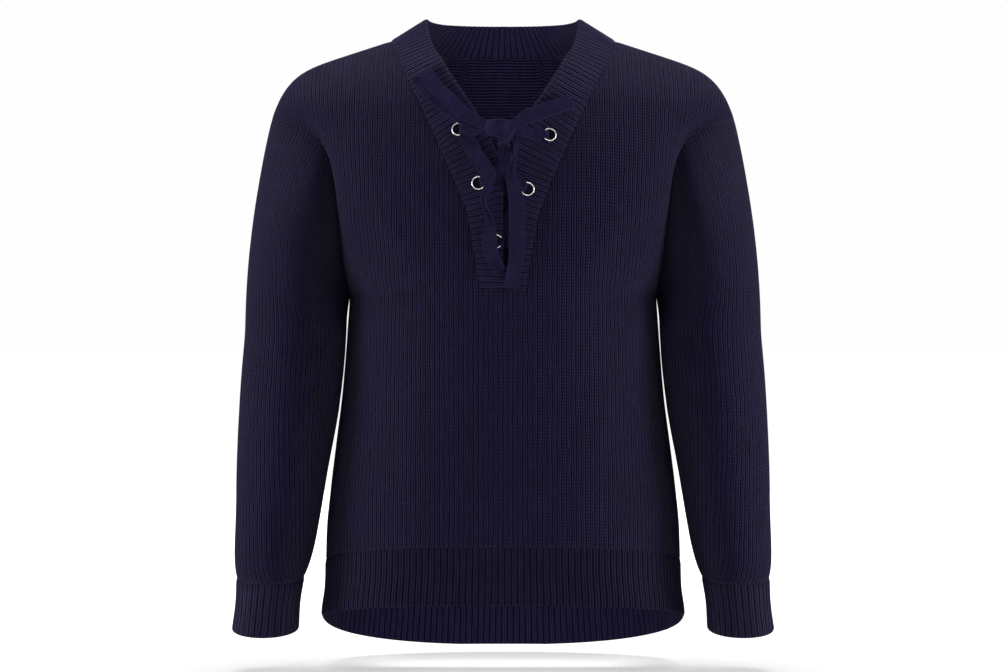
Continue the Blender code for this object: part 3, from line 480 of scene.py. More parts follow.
def knit_places(grid, middle):
    """Where each point is in the knit: along the courses from a wale, and up the wales."""
    steps = np.linalg.norm(np.diff(grid, axis=1), axis=2)
    along = np.concatenate([np.zeros((len(grid), 1)), np.cumsum(steps, axis=1)], axis=1)
    along = along - along[:, middle : middle + 1]
    run = np.gradient(grid, axis=1)
    run = run / np.maximum(np.linalg.norm(run, axis=2), 1e-12)[:, :, None]
    rise = np.diff(grid, axis=0)
    way = (run[1:] + run[:-1]) / 2
    straight = rise - (rise * way).sum(axis=2)[:, :, None] * way
    up = np.concatenate([np.zeros((1, grid.shape[1])), np.cumsum(np.linalg.norm(straight, axis=2), axis=0)])
    return np.stack([along, up], axis=2)


def fold_depth(piece, grid):
    """How far the soft folds push each point in."""
    depth = np.zeros(grid.shape[:2])
    spot = grid[:, :, [0, 2]]
    if piece == "sleeve":
        spot = np.stack([np.abs(grid[:, :, 0]), grid[:, :, 2]], axis=2)
        in_front = np.clip(-surface_normals(grid)[:, :, 1] * 4, 0.0, 1.0)
    for fold in FOLDS:
        if fold.piece != piece:
            continue
        start = np.array([fold.x, fold.z]) * MM
        way = np.array([fold.to_x, fold.to_z]) * MM - start
        share = ((spot - start) @ way) / (way @ way)
        nearest = start + np.clip(share, 0.0, 1.0)[:, :, None] * way
        away = np.linalg.norm(spot - nearest, axis=2) / (fold.width * MM)
        ends = np.clip(1.0 - np.abs(2 * share - 1.0), 0.0, 1.0) ** 0.5
        push = np.exp(-(away**2)) - 0.45 * np.exp(-((away - 1.6) ** 2))
        shown = in_front if piece == "sleeve" and fold.depth < FRONT_FOLD else 1.0
        depth += fold.depth * MM * push * ends * shown
    return depth


def cells(rows, columns, keep=None):
    """Quads of a grid whose four points are all kept."""
    index = np.arange(rows * columns).reshape(rows, columns)
    quads = np.stack([index[:-1, :-1], index[:-1, 1:], index[1:, 1:], index[1:, :-1]], axis=2)
    if keep is not None:
        good = keep[:-1, :-1] & keep[:-1, 1:] & keep[1:, 1:] & keep[1:, :-1]
        return quads[good]
    return quads.reshape(-1, 4)


def quads_facing(grid, normal, row=1, column=40):
    """All quads of a grid, wound to face the way of its normals."""
    quads = cells(*grid.shape[:2])
    corner = grid[row, column]
    facing = np.cross(grid[row, column + 1] - corner, grid[row + 1, column] - corner)
    if np.dot(facing, normal[row, column]) < 0:
        quads = quads[:, ::-1]
    return quads


def knit_uv(along, up):
    """A grid of places in the knit from lengths along the courses and up the wales."""
    return np.stack(np.broadcast_arrays(along, up), axis=2)


def add_mesh(name, points, faces, uv, materials, which=None):
    """An object from arrays, smooth, with its knit places in metres as UVs of the faces' corners."""
    used = np.unique(faces)
    renumber = np.full(len(points), -1)
    renumber[used] = np.arange(len(used))
    mesh = bpy.data.meshes.new(name)
    mesh.from_pydata(points[used].tolist(), [], renumber[faces].tolist())
    layer = mesh.uv_layers.new(name="UVMap")
    layer.data.foreach_set("uv", uv.astype(np.float32).ravel())
    for material in materials:
        mesh.materials.append(material)
    if which is not None:
        mesh.polygons.foreach_set("material_index", which.astype(np.int32))
    mesh.polygons.foreach_set("use_smooth", np.ones(len(faces), bool))
    mesh.update()
    obj = bpy.data.objects.new(name, mesh)
    bpy.context.scene.collection.objects.link(obj)
    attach(obj, "root")
    return obj


def shell(name, outer, inner, places, quads, materials, weld=False):
    """A closed thin wall between an outer and an inner grid; weld joins the first and last column."""
    count = outer.shape[0] * outer.shape[1]
    columns = outer.shape[1]
    points = np.concatenate([outer.reshape(-1, 3), inner.reshape(-1, 3)])
    open_quads = quads
    if weld:
        quads = np.where(quads % columns == columns - 1, quads - (columns - 1), quads)
    edges, open_edges = (
        np.concatenate([four[:, [k, (k + 1) % 4]] for k in range(4)]) for four in (quads, open_quads)
    )
    code = edges[:, 0].astype(np.int64) * count + edges[:, 1]
    back = edges[:, 1].astype(np.int64) * count + edges[:, 0]
    rim = ~np.isin(back, code)
    a, b = edges[rim].T
    open_a, open_b = open_edges[rim].T
    faces = np.concatenate([quads, quads[:, ::-1] + count, np.stack([b, a, a + count, b + count], axis=1)])
    rim_quads = np.stack([open_b, open_a, open_a, open_b], axis=1)
    uv = places.reshape(-1, 2)[np.concatenate([open_quads, open_quads[:, ::-1], rim_quads])]
    which = np.repeat([0, 1, 0], [len(quads), len(quads), len(a)])
    return add_mesh(name, points, faces, uv, materials, which)


# Materials
class Nodes:
    """Short ways to add and join shader nodes."""

    def __init__(self, name):
        self.material = bpy.data.materials.new(name)
        self.material.use_nodes = True
        self.tree = self.material.node_tree
        self.shader = self.tree.nodes["Principled BSDF"]

    def add(self, kind, **settings):
        node = self.tree.nodes.new(kind)
        for key, value in settings.items():
            setattr(node, key, value)
        return node

    def put(self, value, socket):
        if isinstance(value, bpy.types.NodeSocket):
            self.tree.links.new(value, socket)
        else:
            socket.default_value = value

    def math(self, operation, *values, clamp=False):
        node = self.add("ShaderNodeMath", operation=operation, use_clamp=clamp)
        for value, socket in zip(values, node.inputs):
            self.put(value, socket)
        return node.outputs[0]

    def plus(self, a, b):
        return self.math("ADD", a, b)

    def minus(self, a, b):
        return self.math("SUBTRACT", a, b)

    def times(self, a, b):
        return self.math("MULTIPLY", a, b)

    def surface(self, values):
        """Sets or links sockets of the shader."""
        for socket, value in values.items():
            self.put(value, self.shader.inputs[socket])

    def uv(self):
        split = self.add("ShaderNodeSeparateXYZ")
        self.put(self.add("ShaderNodeUVMap", uv_map="UVMap").outputs[0], split.inputs[0])
        return split.outputs[0], split.outputs[1]

    def noise(self, scale, detail=2.0, rough=0.5, stretch=None, source=None):
        node = self.add("ShaderNodeTexNoise")
        node.inputs["Scale"].default_value = scale
        node.inputs["Detail"].default_value = detail
        node.inputs["Roughness"].default_value = rough
        place = source or self.add("ShaderNodeTexCoord").outputs["Object"]
        if stretch:
            mapping = self.add("ShaderNodeMapping")
            mapping.inputs["Scale"].default_value = stretch
            self.put(place, mapping.inputs["Vector"])
            place = mapping.outputs[0]
        self.put(place, node.inputs["Vector"])
        return node.outputs["Fac"]

    def ramp(self, factor, stops):
        node = self.add("ShaderNodeValToRGB")
        points = node.color_ramp.elements
        while len(points) < len(stops):
            points.new(0.5)
        for point, (place, color) in zip(points, stops):
            point.position = place
            point.color = (*color, 1.0)
        self.put(factor, node.inputs[0])
        return node.outputs[0]

    def mix(self, factor, a, b, how="MIX"):
        node = self.add("ShaderNodeMix", data_type="RGBA", blend_type=how)
        self.put(factor, node.inputs[0])
        for value, socket in ((a, node.inputs[6]), (b, node.inputs[7])):
            self.put(value if isinstance(value, bpy.types.NodeSocket) else (*value, 1.0), socket)
        return node.outputs[2]

    def bump(self, height, distance):
        node = self.add("ShaderNodeBump")
        node.inputs["Strength"].default_value = 1.0
        node.inputs["Distance"].default_value = distance
        self.put(height, node.inputs["Height"])
        return node.outputs[0]


def yarn_look_with_painted_shade(nodes, height, yarn, distance, sheen):
    """Colour, fuzz and relief that every knit here shares, from the height of its stitches, with painted shade
    in the grooves and painted light on the crests.
    """
    patch = nodes.noise(9.0, 3.0, 0.6)
    fleck = nodes.noise(520.0, 2.0, 0.7)
    place = nodes.add("ShaderNodeUVMap", uv_map="UVMap").outputs[0]
    strand = nodes.noise(1.0, 2.0, 0.6, stretch=(300.0, 40.0, 1.0), source=place)
    # Painted shade and light: low places between stitches take the deep colour, the crests the light one
    color = nodes.ramp(height, [(0.12, yarn.deep), (0.60, yarn.body), (1.0, yarn.light)])
    tone = nodes.plus(nodes.times(patch, 0.24), nodes.times(fleck, 0.60))
    tone = nodes.plus(nodes.plus(tone, nodes.times(strand, 0.95)), 0.12)
    grey = nodes.add("ShaderNodeCombineColor")
    for k in range(3):
        nodes.put(tone, grey.inputs[k])
    fuzz = nodes.noise(900.0, 3.0, 0.75)
    relief = nodes.plus(height, nodes.times(fuzz, 0.35))
    nodes.surface({
        "Base Color": nodes.mix(1.0, color, grey.outputs[0], "MULTIPLY"),
        "Normal": nodes.bump(relief, distance),
        "Roughness": 0.92,
        "Specular IOR Level": 0.0,
        "Sheen Weight": sheen,
        "Sheen Roughness": 0.45,
        "Sheen Tint": (0.84, 0.80, 1.0, 1.0),
    })
    return nodes.material


def v_height(nodes, across, up, slope):
    """Height of a column of V stitches: across is 0 in its middle and 0.5 at its sides."""
    twice = nodes.times(across, 2.0)
    legs = nodes.math("SINE", nodes.times(twice, math.pi))
    legs = nodes.math("POWER", nodes.math("MAXIMUM", legs, 0.0), 1.4)
    heart = nodes.times(nodes.minus(1.0, twice), 0.80)
    body = nodes.math("MAXIMUM", legs, heart)
    phase = nodes.math("FRACT", nodes.minus(up, nodes.times(across, slope)))
    off = nodes.math("ABSOLUTE", nodes.minus(nodes.times(phase, 2.0), 1.0))
    leg = nodes.minus(1.0, nodes.math("POWER", off, 2.2))
    return nodes.times(body, nodes.plus(0.50, nodes.times(leg, 0.50)))


def wavering(nodes, u, v, by):
    """The knit places, a little uneven as hand-guided yarn is."""
    sway = nodes.noise(42.0, 2.0, 0.5)
    lift = nodes.noise(57.0, 2.0, 0.5)
    u = nodes.plus(u, nodes.times(nodes.minus(sway, 0.5), by))
    v = nodes.plus(v, nodes.times(nodes.minus(lift, 0.5), by))
    return u, v


def stocking_stitch(name, yarn, sheen):
    nodes = Nodes(name)
    u, v = wavering(nodes, *nodes.uv(), 0.0026)
    u = nodes.math("DIVIDE", u, WALE)
    v = nodes.math("DIVIDE", v, COURSE)
    across = nodes.math("ABSOLUTE", nodes.minus(nodes.math("FRACT", u), 0.5))
    height = v_height(nodes, across, v, 1.5)
    return yarn_look_with_painted_shade(nodes, height, yarn, 0.0019, sheen)


def reverse_stitch(name, yarn, sheen):
    nodes = Nodes(name)
    u, v = wavering(nodes, *nodes.uv(), 0.0016)
    turn = 2 * math.pi
    swing = nodes.math("COSINE", nodes.times(u, turn / WALE))
    wave = nodes.plus(nodes.times(v, turn / COURSE), nodes.times(swing, 0.95))
    height = nodes.times(nodes.plus(nodes.math("SINE", wave), 1.0), 0.5)
    height = nodes.math("POWER", height, 0.8)
    return yarn_look_with_painted_shade(nodes, height, yarn, 0.0012, sheen)


def rib_stitch(name, pitch, yarn, sheen):
    nodes = Nodes(name)
    u, v = wavering(nodes, *nodes.uv(), 0.0009)
    u = nodes.math("DIVIDE", u, pitch)
    v = nodes.math("DIVIDE", v, COURSE)
    away = nodes.math("ABSOLUTE", nodes.minus(nodes.math("FRACT", nodes.plus(u, 0.5)), 0.5))
    crest = v_height(nodes, away, v, 1.3)
    slope = nodes.minus(1.0, nodes.times(away, 2.0))
    groove = nodes.math("COSINE", nodes.times(nodes.plus(u, 0.5), math.pi))
    height = nodes.plus(nodes.times(crest, 0.30), nodes.times(slope, 0.42))
    height = nodes.math("ADD", height, nodes.times(nodes.plus(groove, 1.0), 0.17), clamp=True)
    return yarn_look_with_painted_shade(nodes, height, yarn, 0.0009, sheen)


def woven_ribbon(name):
    """Matt ribbon: fine plain weave, a random mottle of painted light and shade, and a firmer, paler selvedge
    along both edges.
    """
    nodes = Nodes(name)
    u, v = nodes.uv()
    turn = 2 * math.pi
    warp = nodes.math("SINE", nodes.times(u, turn / 0.00062))
    weft = nodes.math("SINE", nodes.times(v, turn / 0.00055))
    weave = nodes.times(warp, weft)
    edge = nodes.math("ABSOLUTE", u)
    selvedge = nodes.math("GREATER_THAN", edge, 0.00655)
    beside = nodes.math("GREATER_THAN", edge, 0.0061)
    line = nodes.times(nodes.math("LESS_THAN", edge, 0.0064), beside)
    # Painted light and shade: the colour mottles from dark to pale blue at random, standing in for the shading
    # of crumples
    color = nodes.mix(nodes.noise(110.0, 3.0, 0.65), (0.0110, 0.0082, 0.0300), (0.0340, 0.0262, 0.0800))
    color = nodes.mix(selvedge, color, (0.030, 0.024, 0.070))
    color = nodes.mix(line, color, (0.0130, 0.0098, 0.0340))
    thread = nodes.times(nodes.plus(weave, 1.0), 0.5)
    color = nodes.mix(nodes.times(thread, 0.22), color, (0.006, 0.005, 0.015))
    crumple = nodes.noise(120.0, 2.0, 0.5, stretch=(1.0, 1.0, 0.45))
    height = nodes.plus(nodes.times(weave, 0.05), nodes.times(selvedge, 0.2))
    height = nodes.plus(height, nodes.times(crumple, 1.6))
    nodes.surface({
        "Base Color": color,
        "Normal": nodes.bump(height, 0.0010),
        "Roughness": nodes.plus(0.62, nodes.times(crumple, 0.2)),
        "Specular IOR Level": 0.0,
        "Sheen Weight": 0.04,
        "Sheen Roughness": 0.4,
        "Sheen Tint": (0.7, 0.66, 1.0, 1.0),
    })
    return nodes.material


def eyelet_metal(name):
    """Bright plated brass, finely worn, a little dull in random spots."""
    nodes = Nodes(name)
    worn = nodes.noise(800.0, 3.0, 0.6)
    spots = nodes.noise(240.0, 2.0, 0.5)
    nodes.surface({
        "Base Color": nodes.mix(spots, (0.86, 0.84, 0.79), (0.68, 0.66, 0.62)),
        "Metallic": 1.0,
        "Roughness": nodes.plus(0.14, nodes.times(worn, 0.2)),
        "Normal": nodes.bump(worn, 0.00004),
    })
    return nodes.material


# Colours by stitch height: deep is painted shade in the grooves, body the yarn's own colour, light is painted
# light on the crests
YarnWithPaintedShade = namedtuple("YarnWithPaintedShade", "deep body light")
FACE = YarnWithPaintedShade((0.0010, 0.0007, 0.0036), (0.0132, 0.0096, 0.0385), (0.0280, 0.0215, 0.0720))
WELT_YARN = YarnWithPaintedShade((0.0024, 0.0018, 0.0072), (0.0135, 0.0104, 0.0325), (0.0215, 0.0172, 0.0480))
# Painted light: the cuffs' rib is paler than the welt's though of the same yarn, standing in for the brighter
# light on the cuffs
CUFF_YARN_PAINTED_LIGHTER = YarnWithPaintedShade((0.0044, 0.0036, 0.0110), (0.0200, 0.0162, 0.0430), (0.0310, 0.0262, 0.0620))
# Painted light: the neckband's rib is paler than the welt's though of the same yarn, standing in for the
# brighter light on the band
BAND_YARN_PAINTED_LIGHTER = YarnWithPaintedShade((0.0044, 0.0034, 0.0125), (0.0195, 0.0150, 0.0485), (0.0300, 0.0240, 0.0680))
REVERSE = YarnWithPaintedShade((0.0018, 0.0013, 0.0056), (0.0120, 0.0089, 0.0305), (0.0208, 0.0164, 0.0500))
RIB_REVERSE = YarnWithPaintedShade((0.0020, 0.0015, 0.0062), (0.0135, 0.0103, 0.0330), (0.0240, 0.0190, 0.0560))
KNIT = stocking_stitch("knit_face", FACE, 0.115)
INSIDE = reverse_stitch("knit_reverse", REVERSE, 0.04)
RIB = rib_stitch("rib_welt", RIB_PITCH, WELT_YARN, 0.12)
CUFF = rib_stitch("rib_cuff", RIB_PITCH, CUFF_YARN_PAINTED_LIGHTER, 0.12)
BAND = rib_stitch("rib_band", BAND_PITCH, BAND_YARN_PAINTED_LIGHTER, 0.12)
RIB_INSIDE = rib_stitch("rib_welt_reverse", RIB_PITCH, RIB_REVERSE, 0.04)
BAND_INSIDE = rib_stitch("rib_band_reverse", BAND_PITCH, RIB_REVERSE, 0.05)
RIBBON = woven_ribbon("ribbon_weave")
METAL = eyelet_metal("eyelet_plating")


# Front, back and sleeves
front_grid, front_middle, front_inner, front_base, front_notch = panel(True)
back_grid, back_middle, back_inner, back_base, back_notch = panel(False)


def ring_points(ring, angles):
    """A ring of the left sleeve, starting at its outer side and turning to the front."""
    x = ring[1] + ring[2] * np.cos(angles)
    y = ring[3] - ring[4] * np.sin(angles)
    z = ring[0] + ring[5] * (y - ring[3])
    return np.stack([x, y, z], axis=1) * MM


def sleeve_grid():
    """Rings from the armhole by a rounded cap to the wrist, each starting under the arm."""
    front_edge = front_grid[front_base:, -1][::-1]
    back_edge = back_grid[back_base:, -1]
    armhole = np.vstack([front_edge, back_edge[1:-1]])
    half = len(front_edge) - 1
    count = len(armhole)
    closed = np.vstack([armhole, armhole[:1]])
    along = lengths_along(closed)
    first = np.where(
        np.arange(count) <= half,
        along[:-1] / along[half] * math.pi,
        math.pi + (along[:-1] - along[half]) / (along[-1] - along[half]) * math.pi,
    )
    target = ring_points(SLEEVE_RINGS[0], first)
    reach = np.linalg.norm(target - armhole, axis=1)[:, None]
    facing = np.sin(first)
    outward = np.cos(first)
    leave = np.stack(
        [0.15 + 0.25 * np.abs(facing) + 0.05 * outward, -0.62 * facing, -0.75 - 0.1 * outward], axis=1
    )
    arrive = np.array([0.0, 0.0, -1.0])
    rings = []
    for t in np.linspace(0.0, 1.0, 62)[:-1]:
        ring = (2 * t**3 - 3 * t**2 + 1) * armhole + (3 * t**2 - 2 * t**3) * target
        rings.append(ring + (t**3 - 2 * t**2 + t) * leave * reach + (t**3 - t**2) * arrive * reach)
    table = np.array(SLEEVE_RINGS)
    equal = np.linspace(0.0, 2 * math.pi, count, endpoint=False)
    drop = -table[:, 0] * MM
    places = subdivided(drop, MESH_STEP)
    for row, place in zip(spline(drop, table, places), places):
        ease = min(1.0, np.interp(place, drop, np.arange(len(drop))) / 4)
        rings.append(ring_points(row, first * (1 - ease) + equal * ease))
    grid = np.roll(np.array(rings), -half, axis=1)
    grid = np.concatenate([grid, grid[:, :1]], axis=1)[::-1]
    return grid, count - half


def smooth_ring_rows(grid, times):
    """Takes the small corners out of the rings where the cap meets the straight part."""
    grid = grid.copy()
    for _ in range(times):
        mean = (grid[:-2] + grid[2:]) / 2
        grid[1:-1] = grid[1:-1] * 0.5 + mean * 0.5
    return grid


def soften_shoulder(sleeve):
    """Runs the shoulder into the sleeve without a corner over the top of the arm."""
    reach = SOFT_POINTS
    count = sleeve.shape[1] - 1
    half = len(front_grid) - 1 - front_base
    for ring in range(count + 1):
        place = (ring + half) % count
        if place <= half:
            source, row = front_grid, len(front_grid) - 1 - place
        else:
            source, row = back_grid, back_base + place - half
        weight = np.clip((sleeve[-1, ring, 2] / MM - SOFT_FROM_Z) / SOFT_RISE, 0.0, 1.0)
        if weight == 0.0:
            continue
        line = np.vstack([source[row, -1 - reach : -1], sleeve[: -2 - reach : -1, ring]])
        soft = line.copy()
        for _ in range(SOFT_TIMES):
            soft[1:-1] = soft[1:-1] * 0.5 + (soft[:-2] + soft[2:]) * 0.25
        line = line * (1 - weight) + soft * weight
        sleeve[: -2 - reach : -1, ring] = line[reach:]
        rows = [(source, row)]
        if place == 0:
            rows.append((back_grid, len(back_grid) - 1))
        for grid, k in rows:
            grid[k, -1 - reach :] = line[: reach + 1]
            grid[k, : reach + 1] = to_side(line[reach::-1], -1.0)


left_grid, outer_line = sleeve_grid()
left_grid = smooth_ring_rows(left_grid, 12)
soften_shoulder(left_grid)


def knit_wall(name, grid, normal, depth, places, quads, weld=False):
    """The cloth of a panel or sleeve, pushed in by its folds and seams from the smooth grid."""
    push = depth[:, :, None] * normal
    inner = grid - push * INNER_SHARE - WALL * normal
    obj = shell(name + "_cloth", grid - push, inner, places, quads, [KNIT, INSIDE], weld)
    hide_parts(name)


def cloth_panel(name, front, grid, middle, inner_count, base, notch):
    """Builds the front or the back, and gives the normals along its armhole."""
    rows, columns = grid.shape[:2]
    index = np.abs(np.arange(columns) - middle)
    keep = np.ones((rows, columns), bool)
    keep[notch + 1 :, index < inner_count] = False
    normal = surface_normals(grid)
    quads = cells(rows, columns, keep)
    if (normal[base, middle, 1] > 0) == front:
        normal = -normal
        quads = quads[:, ::-1]
    places = knit_places(grid, middle)
    across = np.abs(places[:, :, 0])
    from_arm = np.abs(places[:, -1:, 0] - across)
    neck = middle + inner_count
    from_neck = np.abs(across - places[:, neck : neck + 1, 0])
    from_neck[:notch] = 1.0
    dip = SEAM_DIP * bell(np.minimum(from_neck, places[:, :, 1]), SEAM_WIDE)
    above = np.clip((np.arange(rows) - base + 8) / 8.0, 0.0, 1.0)
    side = SEAM_DIP + (ARM_DIP - SEAM_DIP) * above
    dip = np.maximum(dip, side[:, None] * bell(from_arm, ARM_WIDE))
    knit_wall(name, grid, normal, dip + fold_depth(name, grid), places, quads)
    return normal[base:, -1]


front_ways_out = cloth_panel("front", True, front_grid, front_middle, front_inner, front_base, front_notch)
back_ways_out = cloth_panel("back", False, back_grid, back_middle, back_inner, back_base, back_notch)
panel_ways = np.vstack([front_ways_out[::-1], back_ways_out[1:-1]])
panel_ways = np.roll(panel_ways, 1 - len(front_ways_out), axis=0)
panel_ways = np.vstack([panel_ways, panel_ways[:1]])


def armhole_seam(name, side, grid, normal):
    """The linked seam behind the armhole, a soft roll of yarn that closes it."""
    edge = grid[-1]
    into = unit(-(to_side(panel_ways, side) + normal[-1]))
    run = np.gradient(np.vstack([grid[-1, -2], edge, grid[-1, 1]]), axis=0)[1:-1]
    beside = np.cross(unit(run), into)
    turns = np.linspace(0.0, 2 * math.pi, 9)
    roll = edge + SEAM_DEPTH * into
    tube = np.array([roll + SEAM_ROLL * (math.cos(a) * into + math.sin(a) * beside) for a in turns])
    uv = knit_uv(lengths_along(edge), SEAM_ROLL * turns[:, None]).reshape(-1, 2)
    faces = quads_facing(tube, into[None], 0, 0)
    add_mesh(name, tube.reshape(-1, 3), faces, uv[faces], [KNIT])


for side, name in ((1.0, "sleeve_left"), (-1.0, "sleeve_right")):
    grid = to_side(left_grid, side)
    normal = surface_normals(grid, True)
    quads = cells(*grid.shape[:2])
    row = len(grid) // 3
    if np.dot(normal[row, outer_line], grid[row, outer_line] - grid[row, 0]) < 0:
        normal = -normal
        quads = quads[:, ::-1]
    places = knit_places(grid, outer_line)
    up = places[:, :, 1]
    dip = np.maximum(SEAM_DIP * bell(up, SEAM_WIDE), ARM_DIP * bell(up[-1:] - up, ARM_WIDE))
    folds = fold_depth("sleeve", grid)
    folds[:, -1] = folds[:, 0]
    knit_wall(name, grid, normal, dip + folds, places, quads, weld=True)
    armhole_seam(name.replace("sleeve", "armhole_seam"), side, grid, normal)


# Rib welts
def rib_profile(phase):
    """Height over a rib's two legs: 0 in the groove beside them, lower than a leg between them."""
    legs = 0.5 + 0.5 * np.cos(2 * math.pi * phase)
    return 0.62 * legs + 0.38 * (0.5 + 0.5 * np.cos(math.pi * (phase + 0.5)))


def rib_faces(grid, normal, phase, turn_in, start):
    """The outer and inner face of a ribbed strip, its ribs half as high inside."""
    relief = RIB_HEIGHT * rib_profile(phase)
    inner_relief = 0.5 * RIB_HEIGHT * rib_profile(phase + 0.5)
    outer = grid + (relief - turn_in - start)[:, :, None] * normal
    inner = grid - (WALL + inner_relief - turn_in)[:, :, None] * normal
    return outer, inner


def level_normals(grid, ring):
    ahead = steps_across(grid, ring)
    return unit(np.stack([ahead[:, :, 1], -ahead[:, :, 0], np.zeros(grid.shape[:2])], axis=2))


WELT_SHARES = np.concatenate([np.linspace(0.0, 0.95, 13), [0.965, 0.98, 0.99, 1.0]])


def welt(name, grid, normal, height, material, weld=False):
    """A ribbed welt or cuff: dipped at its seam, turned in at its free edge."""
    phase = np.arange(grid.shape[1]) / RIB_COLUMNS
    up = height * (1.0 - WELT_SHARES[::-1])
    turn_in = EDGE_TURN * np.clip(1.0 - up / EDGE_REACH, 0.0, 1.0) ** 2
    start = RIB_DIP * bell(height - up, RIB_DIP_WIDE)
    outer, inner = rib_faces(grid, normal, phase, turn_in[:, None], start[:, None])
    places = knit_uv(phase * RIB_PITCH, up[:, None])
    quads = quads_facing(grid, normal)
    obj = shell(name + "_rib", outer, inner, places, quads, [material, RIB_INSIDE], weld)
    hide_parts(name)


for name, front in (("hem_front", True), ("hem_back", False)):
    seam_row = front_grid[0] if front else back_grid[0]
    ribs = int(round(lengths_along(seam_row)[-1] / RIB_PITCH / 2)) * 2
    edge = arc(seam_row, ribs * RIB_COLUMNS + 1)
    table = np.array(WELT_ROWS)
    side = SIDE_SEAM_Y * MM
    depths = table[:, 2 if front else 3] * MM - side
    widths, deep = spline(table[:, 0], np.stack([table[:, 1], depths], axis=1), WELT_SHARES).T
    rows = []
    for drop, half_width, depth in zip(WELT_SHARES, widths, deep):
        row = edge.copy()
        row[:, 0] *= half_width / table[0, 1]
        row[:, 1] = side + (row[:, 1] - side) * depth / depths[0]
        row[:, 2] -= drop * WELT
        rows.append(row)
    grid = np.array(rows)[::-1]
    normal = level_normals(grid, False)
    if (normal[0, len(edge) // 2, 1] > 0) == front:
        normal = -normal
    welt(name, grid, normal, WELT, RIB)


# Cuffs
table = np.array(CUFF_RINGS)
angles = np.linspace(0.0, 2 * math.pi, 720)
around = lengths_along(ring_points(table[1], angles))
even = np.interp(np.linspace(0.0, around[-1], CUFF_RIBS * RIB_COLUMNS + 1), around, angles)
heights = -table[:, 0]
cuff_height = heights[-1] - heights[0]
rings = spline(heights, table, heights[0] + WELT_SHARES * cuff_height)
left_cuff = np.array([ring_points(ring, even) for ring in rings])[::-1]
for side, name in ((1.0, "cuff_left"), (-1.0, "cuff_right")):
    grid = to_side(left_cuff, side)
    normal = level_normals(grid, True)
    if np.dot(normal[3, 0], grid[3, 0] - grid.mean(axis=(0, 1))) < 0:
        normal = -normal
    welt(name, grid, normal, cuff_height * MM, CUFF, weld=True)


# Neckband
front_strip = front_grid[front_notch:, front_middle + front_inner]
back_strip = back_grid[back_notch:, back_middle + back_inner][::-1]
nape = back_grid[back_notch, back_middle : back_middle + back_inner][::-1]
half_seam = np.vstack([front_strip, back_strip[1:], nape])
marks = [(r.neck_x, r.neck_y, r.neck_z) for r in FRONT_ROWS + BACK_ROWS[11:7:-1]]
nearest = [np.argmin(np.linalg.norm(half_seam - np.array(mark) * MM, axis=1)) for mark in marks]
nearest += [len(half_seam) - 1 - back_inner // 2, len(half_seam) - 1]
seam_knots = lengths_along(half_seam)[nearest]
free_points = np.array([(f.x, f.y, f.z) for f in FREE_EDGE]) * MM
middle_knots = lengths_along((free_points + half_seam[nearest]) / 2)
half_ribs = int(round(middle_knots[-1] / BAND_PITCH))
wanted = np.linspace(0.0, middle_knots[-1], half_ribs * RIB_COLUMNS + 1)
along = np.interp(wanted, middle_knots, seam_knots)
seam_line = at_lengths(half_seam, along)
free_line = spline(seam_knots, free_points, along)
closing = np.clip((free_line[:, 2] / MM - SLIT_FOOT) / 9.0, 0.0, 1.0) ** 0.5
slit = free_line[:, 0] < SLIT_REACH
free_line[slit, 0] = (free_line[slit, 0] + SLIT_EASE) * closing[slit]
aside = np.interp(along, seam_knots, np.array([f.aside for f in FREE_EDGE]) * MM)
seam_all = np.vstack([to_side(seam_line, -1.0), seam_line[-2::-1]])
free_all = np.vstack([to_side(free_line, -1.0), free_line[-2::-1]])
free_all[:, 0] += np.concatenate([aside, aside[-2::-1]])
BAND_ACROSS = np.concatenate([[0.0, 0.03, 0.07], np.linspace(0.13, 0.9, 12), [0.94, 0.97, 0.985, 1.0]])
band = seam_all[None] * (1 - BAND_ACROSS[:, None, None]) + free_all[None] * BAND_ACROSS[:, None, None]
band_normal = surface_normals(band)
if band_normal[5, 40, 1] > 0:
    band_normal = -band_normal
for _ in range(6):
    band_normal[:, 1:-1] = (band_normal[:, :-2] + 2 * band_normal[:, 1:-1] + band_normal[:, 2:]) / 4
band_normal = unit(band_normal)
phase = (np.arange(band.shape[1]) - half_ribs * RIB_COLUMNS) / RIB_COLUMNS
width = np.linalg.norm(free_all - seam_all, axis=1)
across_at = BAND_ACROSS[:, None] * width
turn_in = BAND_TURN * np.clip(1.0 - (width - across_at) / BAND_REACH, 0.0, 1.0) ** 2
outer, inner = rib_faces(band, band_normal, phase, turn_in, BAND_DIP * bell(across_at, BAND_DIP_WIDE))
places = knit_uv(phase * BAND_PITCH, across_at)

# Spots and normals of the cloth under the lace and eyelets: the band, and the front beside it
band_spots = band[:, ::4][::2].reshape(-1, 3)
band_ways = band_normal[:, ::4][::2].reshape(-1, 3)
in_front = band_spots[:, 1] < -0.02
front_spots = front_grid[::4, ::4].reshape(-1, 3)
front_ways = -surface_normals(front_grid)[::4, ::4].reshape(-1, 3)
front_ways = front_ways * np.where(front_ways[:, 1:2] > 0, -1.0, 1.0)
from_middle = np.abs(front_spots[:, 0])
height = front_spots[:, 2]
neck_x = np.interp(
    height * 1000, [r.neck_z for r in FRONT_ROWS], [r.neck_x for r in FRONT_ROWS], left=0.0
)
beside = (height > -0.32) & (from_middle < 0.15) & (from_middle * 1000 > neck_x)
beside &= (height <= -0.2585) | (from_middle >= 0.023)
FORM_SPOTS = np.vstack([band_spots[in_front], front_spots[beside]])
FORM_WAYS = np.vstack([band_ways[in_front], front_ways[beside]])


